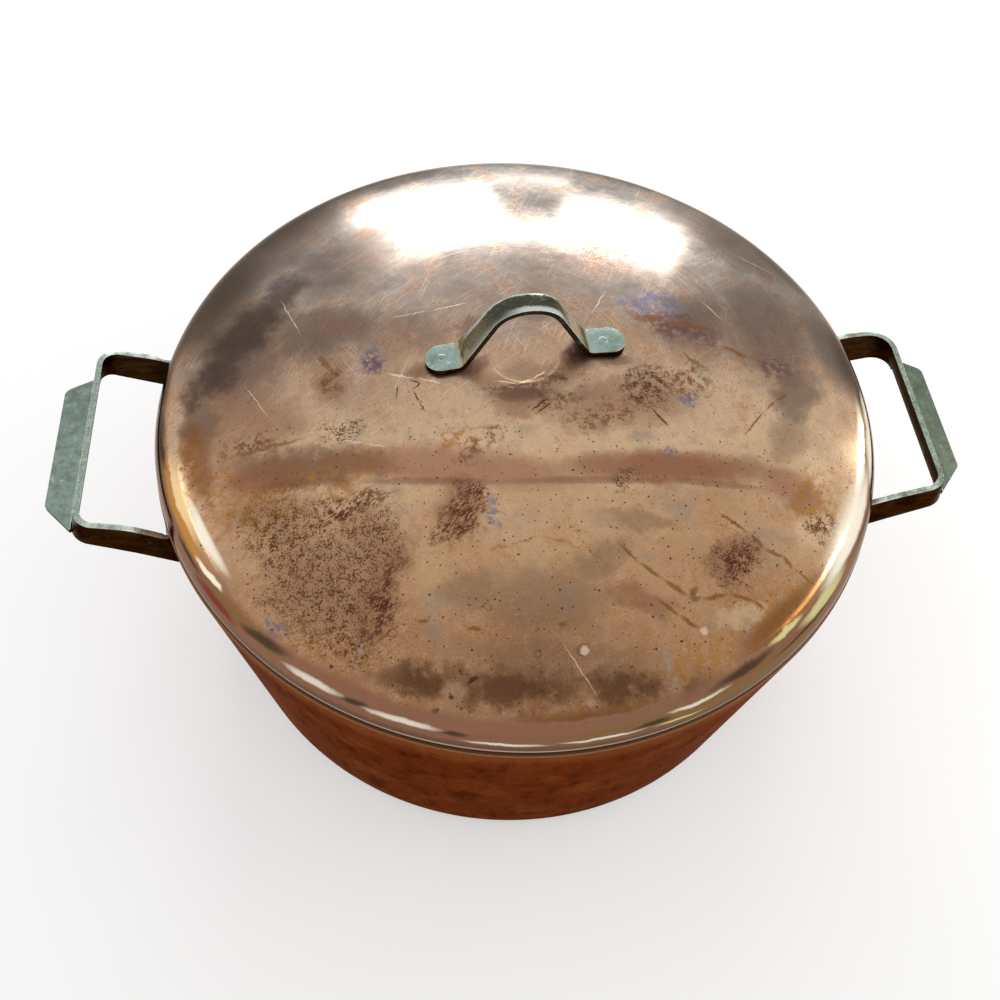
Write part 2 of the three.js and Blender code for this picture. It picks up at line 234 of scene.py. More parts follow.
# Pot body: a spun copper shell with a thicker rim, tinned inside.
def potProfile():
    lean = math.degrees(taper)
    across = pot["wall"] / math.cos(taper)

    def cornerCentre(radius, inset):
        z = radius + inset
        face = wallRadius(z) - inset / math.cos(taper)
        return face - radius / math.cos(taper), z

    outer = cornerCentre(pot["cornerRadius"], 0)
    inner = cornerCentre(pot["cornerRadius"] - pot["wall"], pot["wall"])
    rounding = pot["rimRounding"]
    edge = (pot["rimRadius"] - rounding, pot["height"] - rounding)
    outside = [(0, 0), *[(r, 0) for r in pot["floorRings"]]]
    outside += arc(*outer, pot["cornerRadius"], -90, -lean, 20)
    wallTop = pot["height"] - rounding
    outside += [(wallRadius(z), z) for z in (30, 50, 70, 90, 105, wallTop)]
    outside += arc(*edge, rounding, 20, 90, 6)
    lip = pot["rimRadius"] - pot["rimWidth"]
    inside = [
        (lip, pot["height"]),
        (lip, pot["height"] - pot["rimDepth"] / 2),
        (wallRadius(pot["height"] - pot["rimDepth"]) - across, pot["height"] - pot["rimDepth"]),
        *[(wallRadius(z) - across, z) for z in (100, 80, 60, 40, 20)],
        *arc(*inner, pot["cornerRadius"] - pot["wall"], -lean, -90, 16),
        *[(r, pot["wall"]) for r in pot["floorRings"][::-1]],
        (0, pot["wall"]),
    ]
    return outside + inside, len(outside)


print("pot body")
profile, insideFrom = potProfile()
potBody = revolve("potBody", profile, pot["turns"], insideFrom)


# Lid shell: an edge curled in to the rim, a round shoulder, a dome and a flat spun centre.
def lidProfile():
    spotAngle = math.degrees(math.acos(lid["spotRadius"] / domeRadius))
    curl = lid["curlRadius"]

    def layer(inset):
        points = arc(lid["radius"] - curl, shoulderZ, curl - inset, -lid["curlAngle"], 0, 10)
        shoulder = lid["shoulderRadius"] - inset
        points += arc(shoulderX, shoulderZ, shoulder, 0, shoulderAngle, 24)[1:]
        dome = lid["rise"] - domeRadius
        points += arc(0, dome, domeRadius - inset, shoulderAngle, spotAngle, 40)[1:]
        floor = lid["rise"] - inset - lid["spotDepth"]
        edge = points[-1]
        blendPoints = [
            (edge[0] - lid["spotBlend"] * s, between(edge[1], floor, s * s * (3 - 2 * s)))
            for s in (0.25, 0.5, 0.75, 1)
        ]
        return points + blendPoints + [(8, floor), (4, floor), (0, floor)]

    outside = layer(0)
    return outside + layer(lid["wall"])[::-1], len(outside) - 1


print("lid shell")
profile, insideFrom = lidProfile()
profile = [(r, z + pot["height"]) for r, z in profile]
lidShell = revolve("lidShell", profile, lid["turns"], insideFrom, closed=True)

# Collar: the plain tinned ring inside the lid that drops into the pot.
collar = {"depth": 14, "wall": 1.4, "play": 1.2, "edge": 0.4}


def collarProfile():
    wallFace = wallRadius(pot["height"] - collar["depth"]) - pot["wall"] / math.cos(taper)
    outer = wallFace - collar["play"]
    inner = outer - collar["wall"]
    roof = math.acos((outer - shoulderX) / (lid["shoulderRadius"] - lid["wall"]))
    top = shoulderZ + (lid["shoulderRadius"] - lid["wall"] - seatGap) * math.sin(roof)
    low = -collar["depth"]
    edge = collar["edge"]
    bottom = arc(inner + edge, low + edge, edge, 180, 270, 4)
    bottom += arc(outer - edge, low + edge, edge, -90, 0, 4)
    return [(r, z + pot["height"]) for r, z in [*bottom, (outer, top), (inner, top)]]


lidCollar = revolve("lidCollar", collarProfile(), lid["turns"], closed=True)

# Side handles: a brass strap bent to a loop, with a flange folded out of the grip.
handle = {
    "thickness": 2.3,
    "gripLean": 3.4,
    "gripPinch": 0.9,
    "armBelowRim": 12.8,
    "armHalfSpread": 43.6,
    "footHeight": 17.5,
    "footLength": 28.5,
    "rootRadius": 4,
    "bowRadius": 30,
    "lowerBowShare": 0.3,
    "bowAt": 0.45,
    "flangeWidth": 10.3,
    "flangeThickness": 2,
    "foldRadius": 3,
    "foldLap": 0.4,
    "edge": 0.45,
}
# The arms run from the -Y side to the +Y side before the handle is turned.
leftHandle = {
    "turn": 180.7,
    "standOff": 26.8,
    "halfGrip": 42.9,
    "gripHeight": 11.2,
    "belowRim": -1,
    "arms": [
        {"bow": 1.5, "bend": 9, "flangeSetback": 9.6, "flangeTaper": 5, "flangeCorner": 4},
        {"bow": 3, "bend": 7, "flangeSetback": 4.2, "flangeTaper": 11, "flangeCorner": 3},
    ],
}
rightHandle = {
    "turn": -0.5,
    "standOff": 25.8,
    "halfGrip": 41.6,
    "gripHeight": 13.1,
    "belowRim": 2,
    "arms": [
        {"bow": 0.5, "bend": 7, "flangeSetback": 4.9, "flangeTaper": 12, "flangeCorner": 3},
        {"bow": 2, "bend": 12, "flangeSetback": 8.5, "flangeTaper": 6, "flangeCorner": 4},
    ],
}


def sideHandleEdge(own, atTop):
    middle = pot["height"] - handle["armBelowRim"] - handle["footHeight"] / 2
    sign = 1 if atTop else -1
    tipRadius = handle["footHeight"] / 2

    def onWall(fromTip, z):
        radius = wallRadius(z) + seatGap / math.cos(taper)
        root = math.asin(handle["armHalfSpread"] / radius)
        angle = root - (handle["footLength"] - fromTip) / radius
        return Vector((radius * math.cos(angle), -radius * math.sin(angle), z))

    half = []
    for angle in tipAngles:
        z = middle + sign * tipRadius * math.sin(angle)
        half.append((onWall(tipRadius * (1 - math.cos(angle)), z), 0))
    edgeZ = middle + sign * tipRadius
    for share in (0.2, 0.4, 0.6, 0.75):
        half.append((onWall(between(tipRadius, handle["footLength"], share), edgeZ), 0))
    root = onWall(handle["footLength"], edgeZ)
    half.append((root, handle["rootRadius"]))
    grip = Vector((pot["rimRadius"] + own["standOff"], -own["halfGrip"], pot["height"]))
    grip.z -= own["belowRim"]
    if not atTop:
        grip += Vector((handle["gripLean"], handle["gripPinch"], -own["gripHeight"]))
    sides = []
    for arm in own["arms"]:
        middleOfArm = root.lerp(grip, handle["bowAt"])
        middleOfArm.z += arm["bow"] * (1 if atTop else handle["lowerBowShare"])
        sides.append([*half, (middleOfArm, handle["bowRadius"]), (grip, arm["bend"])])
    last = [(Vector((at.x, -at.y, at.z)), radius) for at, radius in sides[1]]
    return roundedPath([*sides[0], *last[::-1]])


def makeSideHandle(name, own):
    loop = strap(
        name, sideHandleEdge(own, True), sideHandleEdge(own, False), handle["thickness"], upward
    )
    bottom = pot["height"] - own["belowRim"] - own["gripHeight"]
    above = bottom + 2 * handle["foldRadius"]
    top = bottom + handle["flangeThickness"]

    def faceAt(z):
        fall = (bottom + own["gripHeight"] - z) / own["gripHeight"]
        return pot["rimRadius"] + own["standOff"] + handle["gripLean"] * fall

    def backAt(z):
        return faceAt(z) - handle["thickness"]

    outer = faceAt(bottom) + handle["flangeWidth"]
    lap = handle["foldLap"]
    straight, long, short, corner = [], [], [], []
    for sign, arm in zip((-1, 1), own["arms"]):
        straight.append(sign * (own["halfGrip"] - max(arm["bend"], arm["flangeSetback"])))
        long.append(sign * (own["halfGrip"] - arm["flangeSetback"]))
        short.append(long[-1] - sign * arm["flangeTaper"])
        corner.append(arm["flangeCorner"])
    section = [
        (backAt(above), above, 0),
        (backAt(bottom), bottom, handle["foldRadius"]),
        (outer, bottom, 0),
        (outer, top, 0),
        (faceAt(top), top, handle["foldRadius"] - handle["flangeThickness"]),
        (faceAt(above), above, 0),
    ]
    outline = [
        (backAt(above) - lap, straight[0], 0),
        (faceAt(bottom), long[0], 0),
        (outer, short[0], corner[0]),
        (outer, short[1], corner[1]),
        (faceAt(bottom), long[1], 0),
        (backAt(above) - lap, straight[1], 0),
    ]
    half = handle["thickness"] / 2 + handle["gripLean"]
    low, high = straight[0] + lap, straight[1] - lap
    room = [(backAt(bottom) + x, y, 0) for x in (-half, half) for y in (low, high)]
    fold = prism("fold", section, long[0], long[1], axis="Y")
    combine(fold, prism("outline", outline, bottom - lap, above + lap), "INTERSECT")
    room = [room[0], room[1], room[3], room[2]]
    combine(loop, prism("room", room, bottom - 1, above - lap), "DIFFERENCE")
    combine(loop, fold, "UNION")
    softenEdges(loop, handle["edge"])
    loop.data.transform(Matrix.Rotation(math.radians(own["turn"]), 4, "Z"))
    return loop


print("side handles")
sideHandleLeft = makeSideHandle("sideHandleLeft", leftHandle)
sideHandleRight = makeSideHandle("sideHandleRight", rightHandle)

# Lid handle: a narrower strap with an arched grip and two flat round feet.
lidHandle = {
    "thickness": 2.1,
    "turn": 5.8,
    "shift": 1.6,
    "leftTip": 37.6,
    "rightTip": 39.9,
    "footWidth": 12.6,
    "crownWidth": 8.5,
    "legFoot": 24.6,
    "legTop": 10.8,
    "shoulderRise": 24.4,
    "crownRise": 27.6,
    "footBend": 3,
    "shoulderBend": 13,
    "crownBend": 20,
    "edge": 0.5,
}


def lidHandleEdge(sign):
    tipRadius = lidHandle["footWidth"] / 2

    def footTop(x):
        return domeHeight(x) + seatGap + lidHandle["thickness"]

    def bend(x, z, radius):
        share = max(0, min(1, (z - lid["rise"]) / lidHandle["crownRise"]))
        halfWidth = between(lidHandle["footWidth"], lidHandle["crownWidth"], share) / 2
        return Vector((x, sign * halfWidth, z)), radius

    def side(hand, reach):
        points = []
        for angle in tipAngles:
            x = hand * (reach - tipRadius * (1 - math.cos(angle)))
            points.append((Vector((x, sign * tipRadius * math.sin(angle), footTop(x))), 0))
        foot = hand * lidHandle["legFoot"]
        leg = hand * lidHandle["legTop"]
        points.append(bend(foot, footTop(foot), lidHandle["footBend"]))
        rise = lid["rise"] + lidHandle["shoulderRise"]
        points.append(bend(leg, rise, lidHandle["shoulderBend"]))
        return points

    crown = bend(0, lid["rise"] + lidHandle["crownRise"], lidHandle["crownBend"])
    right = side(1, lidHandle["rightTip"])[::-1]
    return roundedPath([*side(-1, lidHandle["leftTip"]), crown, *right])


lidHandlePlace = (
    Matrix.Translation(Vector((0, lidHandle["shift"], pot["height"])) * mm)
    @ Matrix.Rotation(math.radians(lidHandle["turn"]), 4, "Z")
)

print("lid handle")
sideways = Vector((0, 1, 0))
lidHandleStrap = strap(
    "lidHandleStrap", lidHandleEdge(1), lidHandleEdge(-1), lidHandle["thickness"], sideways
)
softenEdges(lidHandleStrap, lidHandle["edge"])
lidHandleStrap.data.transform(lidHandlePlace)

# Rivets: a flat head behind the sheet, a shank, and a low head over the strap.
rivetTurns = 40
headFlat = 0.72  # Where an inner head starts to round off, as a share of its radius.
sideRivet = {
    "shank": 2.4,
    "innerHead": 4.7,
    "innerRise": 1.4,
    "outerHead": 4.2,
    "outerRise": 1.8,
    "fromTip": 8,
    "spacing": 10.5,
}
lidRivet = {
    "shank": 1.7,
    "innerHead": 4.2,
    "innerRise": 1.4,
    "outerHead": 1.7,
    "outerRise": 0.25,
    "place": 31,
}


def makeRivet(name, rivet, sheet, over, at, out, place=None):
    back = -sheet - seatGap
    front = seatGap + over + (seatGap if rivet["outerHead"] > rivet["shank"] else 0)
    profile = [(0, back - rivet["innerRise"])]
    for i in range(7):
        angle = math.radians(i * 15)
        r = rivet["innerHead"] * between(headFlat, 1, math.sin(angle))
        profile.append((r, back - rivet["innerRise"] * math.cos(angle)))
    profile += [(rivet["shank"], back), (rivet["shank"], front)]
    for i in range(9):
        angle = math.radians(i * 11.25)
        r = rivet["outerHead"] * math.cos(angle)
        profile.append((r if i < 8 else 0, front + rivet["outerRise"] * math.sin(angle)))
    profile = [p for i, p in enumerate(profile) if not i or p != profile[i - 1]]
    piece = revolve(name, profile, rivetTurns)
    turn = upward.rotation_difference(out).to_matrix().to_4x4()
    piece.data.transform(Matrix.Translation(Vector(at) * mm) @ turn)
    if place:
        piece.data.transform(place)
    return piece


print("rivets")
sideRivets = {}
for side, own in (("left", leftHandle), ("right", rightHandle)):
    place = Matrix.Rotation(math.radians(own["turn"]), 4, "Z")
    z = pot["height"] - handle["armBelowRim"] - handle["footHeight"] / 2
    radius = wallRadius(z)
    root = math.asin(handle["armHalfSpread"] / radius)
    number = 0
    for hand in (-1, 1):
        for fromTip in (sideRivet["fromTip"], sideRivet["fromTip"] + sideRivet["spacing"]):
            number += 1
            angle = hand * (root - (handle["footLength"] - fromTip) / radius)
            at = (radius * math.cos(angle), radius * math.sin(angle), z)
            out = Vector((math.cos(angle), math.sin(angle), -math.tan(taper))).normalized()
            name = f"rivet{side.title()}{number}"
            rivet = makeRivet(name, sideRivet, pot["wall"], handle["thickness"], at, out, place)
            sideRivets[f"rivet_{side}_{number}"] = rivet

lidRivets = {}
for number, hand in ((1, -1), (2, 1)):
    x = hand * lidRivet["place"]
    at = (x, 0, domeHeight(x))
    out = Vector((x, 0, domeRadius - lid["rise"] + at[2])).normalized()
    name = f"lidRivet{number}"
    lidRivets[f"lid_rivet_{number}"] = makeRivet(
        name, lidRivet, lid["wall"], lidHandle["thickness"], at, out, lidHandlePlace
    )

for piece, node, body, slotName in [
    (potBody, "pot_body", "pot", "pot_copper"),
    (lidShell, "lid_shell", "lid", "lid_copper"),
    (lidCollar, "lid_collar", "lid", "collar_tinned"),
    (sideHandleLeft, "handle_left", "pot", "handle_brass"),
    (sideHandleRight, "handle_right", "pot", "handle_brass"),
    (lidHandleStrap, "lid_handle", "lid", "handle_brass"),
    *[(piece, node, "pot", "rivet_brass") for node, piece in sideRivets.items()],
    *[(piece, node, "lid", "rivet_brass") for node, piece in lidRivets.items()],
]:
    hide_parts(node)
    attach(piece, body)


# An output of a node. Sums and products of it, and the like, are added to its tree as nodes.
class Value:
    def __init__(self, nodes, socket):
        self.nodes = nodes
        self.socket = socket

    # Another output of the same node.
    def sibling(self, key):
        return Value(self.nodes, self.socket.node.outputs[key])

    def math(self, operation, other, clamp=False):
        return self.nodes.math(operation, self, other, clamp)

    def __add__(self, other):
        return self.math("ADD", other)

    def __sub__(self, other):
        return self.math("SUBTRACT", other)

    def __rsub__(self, other):
        return self.nodes.math("SUBTRACT", other, self)

    def __mul__(self, other):
        return self.math("MULTIPLY", other)

    # A noise from 0 to 1 made to swing about 0.
    def swing(self, size):
        return (self - 0.5) * size

    def ramp(self, low, high, toLow=0.0, toHigh=1.0):
        inputs = {0: self, 1: low, 2: high, 3: toLow, 4: toHigh}
        return self.nodes.add("ShaderNodeMapRange", inputs, interpolation_type="SMOOTHSTEP")

    def vector(self, operation, other=(0, 0, 0), scale=None):
        inputs = {0: self, 1: other} if scale is None else {0: self, "Scale": scale}
        output = "Value" if operation in ("LENGTH", "DOT_PRODUCT") else "Vector"
        return self.nodes.add("ShaderNodeVectorMath", inputs, output, operation=operation)

    def axis(self, index):
        return self.nodes.add("ShaderNodeSeparateXYZ", {0: self}, index)


# Starts the node tree of a material or a world and adds nodes to it.
class Nodes:
    def __init__(self, owner, kind):
        owner.use_nodes = True
        self.owner = owner
        self.tree = owner.node_tree
        self.tree.nodes.clear()
        self.end = self.tree.nodes.new(f"ShaderNodeOutput{kind}")

    # Adds a node and gives one of its outputs. An input may be a number, a colour or a Value. The
    # settings come first, because some of them change which inputs a node has.
    def add(self, kind, inputs=None, output=0, **settings):
        made = self.tree.nodes.new(kind)
        for key, setting in settings.items():
            setattr(made, key, setting)
        for key, value in (inputs or {}).items():
            socket = made.inputs[key]
            if isinstance(value, Value):
                self.tree.links.new(value.socket, socket)
            elif socket.type == "RGBA":
                socket.default_value = (*value[:3], 1)
            else:
                socket.default_value = value
        return Value(self, made.outputs[output])

    def show(self, shader):
        self.tree.links.new(shader.socket, self.end.inputs[0])

    def math(self, operation, a, b, clamp=False):
        return self.add("ShaderNodeMath", {0: a, 1: b}, operation=operation, use_clamp=clamp)

    # 1 for what is seen, straight or mirrored, and 0 for the light that falls on other things.
    def seen(self):
        total = self.add("ShaderNodeLightPath", output="Is Camera Ray")
        glossy, through = total.sibling("Is Glossy Ray"), total.sibling("Is Transmission Ray")
        return total.math("ADD", glossy, clamp=True).math("ADD", through, clamp=True)


# The nodes of a material. The place is in millimetres, and facing is 1 where a face looks up.
class Finish(Nodes):
    def __init__(self, name):
        super().__init__(bpy.data.materials.new(name), "Material")
        coordinates = self.add("ShaderNodeTexCoord", output="Object")
        self.place = coordinates.vector("SCALE", scale=1000.0)
        self.normal = coordinates.sibling("Normal")
        self.facing = self.normal.axis(2)

    def noise(self, scale, detail, rough=0.5, at=None, flat=False):
        inputs = {"Scale": scale, "Detail": detail, "Roughness": rough, "Vector": at or self.place}
        dimensions = "2D" if flat else "3D"
        return self.add("ShaderNodeTexNoise", inputs, noise_dimensions=dimensions)

    # x and y for the ellipses, as (x, y, 1) and (x squared, x times y, y squared).
    def plane(self, x, y):
        first = self.add("ShaderNodeCombineXYZ", {0: x, 1: y, 2: 1.0})
        return first, self.add("ShaderNodeCombineXYZ", {0: x * x, 1: x * y, 2: y * y})

    # x and y with a ragged shift of up to the size.
    def warped(self, size, scale):
        inputs = {"Vector": self.place, "Scale": scale, "Detail": 4.0, "Roughness": 0.65}
        noise = self.add("ShaderNodeTexNoise", inputs, "Color", noise_dimensions="2D")
        shift = self.add("ShaderNodeSeparateColor", {0: noise})
        moved = []
        for index in (0, 1):
            by = shift.sibling(index).swing(2.0 * size)
            moved.append(self.place.axis(index) + by)
        return self.plane(*moved)

    # Long thin streaks: noise on coordinates that are turned and then squeezed.
    def streaks(self, turn, length, width, detail, offset=0.0):
        inputs = {
            "Vector": self.place,
            "Location": (offset, 0, 0),
            "Rotation": (0, 0, math.radians(turn)),
            "Scale": (length, width, width),
        }
        at = self.add("ShaderNodeMapping", inputs, vector_type="TEXTURE")
        return self.noise(1.0, detail, 0.6, at, flat=True)

    # Streaks that run round the Z axis, or down it where around is large and outward is small.
    def turnedStreaks(self, around, outward, upwards, detail):
        flat = self.place.vector("MULTIPLY", (1, 1, 0))
        ring = flat.vector("NORMALIZE").vector("SCALE", scale=around)
        away = flat.vector("LENGTH") * outward
        rise = self.place.axis(2) * upwards
        lift = self.add("ShaderNodeCombineXYZ", {2: away + rise})
        return self.noise(1.0, detail, 0.6, ring.vector("ADD", lift))

    def tint(self, base, colour, amount):
        inputs = {0: amount, 6: base, 7: colour}
        return self.add("ShaderNodeMix", inputs, 2, data_type="RGBA")

    # Tints over each other. A coat is its tint, what it follows, and the ramp to its amount.
    def coats(self, colour, *coats):
        for tint, source, *reach in coats:
            colour = self.tint(colour, tint, source.ramp(*reach))
        return colour

    def gradient(self, value, stops):
        made = self.add("ShaderNodeValToRGB", {0: value})
        elements = made.socket.node.color_ramp.elements
        while len(elements) < len(stops):
            elements.new(0.5)
        for element, (position, colour) in zip(elements, stops):
            element.position = position
            element.color = colour
        return made

    # Metal from a colour and a roughness, with a bump whose depth is in metres.
    def metal(self, colour, rough, height, depth, values):
        bump = self.add("ShaderNodeBump", {"Height": height, "Distance": depth})
        inputs = {"Base Color": colour, "Roughness": rough, "Normal": bump, **values}
        self.show(self.add("ShaderNodeBsdfPrincipled", inputs))
        return self.owner


# 1 inside any of the ellipses (x, y, half length, half width, turn) and 0 outside. An ellipse is
# a quadratic in x and y that reaches 1 at its edge.
def inEllipses(ellipses, plane, soft):
    nearest = None
    for x, y, halfLength, halfWidth, turn in ellipses:
        c, s = math.cos(math.radians(turn)), math.sin(math.radians(turn))
        xx = (c / halfLength) ** 2 + (s / halfWidth) ** 2
        yy = (s / halfLength) ** 2 + (c / halfWidth) ** 2
        xy = 2 * c * s * (halfLength**-2 - halfWidth**-2)
        level = xx * x * x + xy * x * y + yy * y * y
        first = plane[0].vector("DOT_PRODUCT", (-2 * xx * x - xy * y, -2 * yy * y - xy * x, level))
        both = first + plane[1].vector("DOT_PRODUCT", (xx, xy, yy))
        nearest = nearest.math("MINIMUM", both) if nearest else both
    return nearest.ramp(1.0, (1.0 - soft) ** 2)


# Red, green and blue from 0 to 255 to the linear colour that nodes work in.
def paint(*channels):
    def linear(v):
        return v / 12.92 if v <= 0.04045 else ((v + 0.055) / 1.055) ** 2.4

    return (*(linear(v / 255) for v in channels), 1)


# Lid copper. The tones are partly the copper's own colour and partly painted reflection, the grey back
# half standing for bright sky mirrored in the dome. They run from the front edge of the lid at 0 to its
# back edge at 1.
lidLook = {
    "tonesWithReflection": [
        (0.0, paint(146, 104, 70)),
        (0.12, paint(178, 140, 104)),
        (0.3, paint(198, 166, 132)),
        (0.42, paint(188, 156, 126)),
        (0.52, paint(168, 136, 110)),
        (0.62, paint(158, 136, 120)),
        (0.8, paint(168, 156, 148)),
        (1.0, paint(140, 136, 132)),
    ],
    "warm": paint(170, 124, 88),
    "grey": paint(136, 124, 112),
    "pale": paint(224, 208, 188),
    "speck": paint(78, 50, 32),
    # mauve and edge are painted darker reflections on the shoulder and on the curled edge.
    "mauve": paint(132, 92, 72),
    "edge": paint(70, 52, 42),
    "edgeTint": (0.72, 0.68, 0.64),
    "shoulderAt": 134.5,
    "shoulderFacing": 0.866,
    "roughness": (0.12, 0.26),
    "handled": (0, -6, 46, 30),
    "handledRoughness": 0.22,
    "dents": 20.0,
    "bumpDepth": 0.000005,
    # How fine each noise is: waves to a millimetre.
    "noises": {"cloud": 0.022, "smoke": 0.07, "grain": 1.3, "blotch": 0.3, "dents": 0.03},
    # Brushing: how fine it is round the lid, outwards and upwards, and its detail.
    "brushing": (5.0, 3.4, 0.0, 3.0),
    "ring": paint(104, 66, 32),
    "dot": paint(212, 184, 166),
    "ringAmount": 0.7,
    "ringInner": 0.72,
    # Where the tones start and end along y.
    "toneSpan": (-106.0, 176.0),
    # Scratches in one direction each: turn, offset and how much of the lid stays free of them.
    "hairlines": ((14, 0, 0.52), (-58, 40, 0.5), (68, 90, 0.46), (38, 150, 0.42)),
    # Specks: how many there are to a millimetre, the share left out, and the widest radius.
    "specks": ((0.23, 0.74, 0.1), (0.5, 0.78, 0.16)),
}

# How far the edge of a stain strays, in millimetres.
edgeShift = {"crisp": 0.8, "uneven": 2.0, "ragged": 7.0}


# A tint laid on inside ellipses, as red, green and blue from 0 to 255, used both for stains and for
# painted reflections, shadow and highlights. At an amount of 1 it covers. The softness is the share of
# an ellipse over which it fades, and a texture breaks it up.
def tintPatch(tint, amount, softness, spots, edge="ragged", texture=None):
    return {
        "tint": paint(*tint),
        "amount": amount,
        "softness": softness,
        "spots": spots,
        "edge": edge,
        "texture": texture,
    }


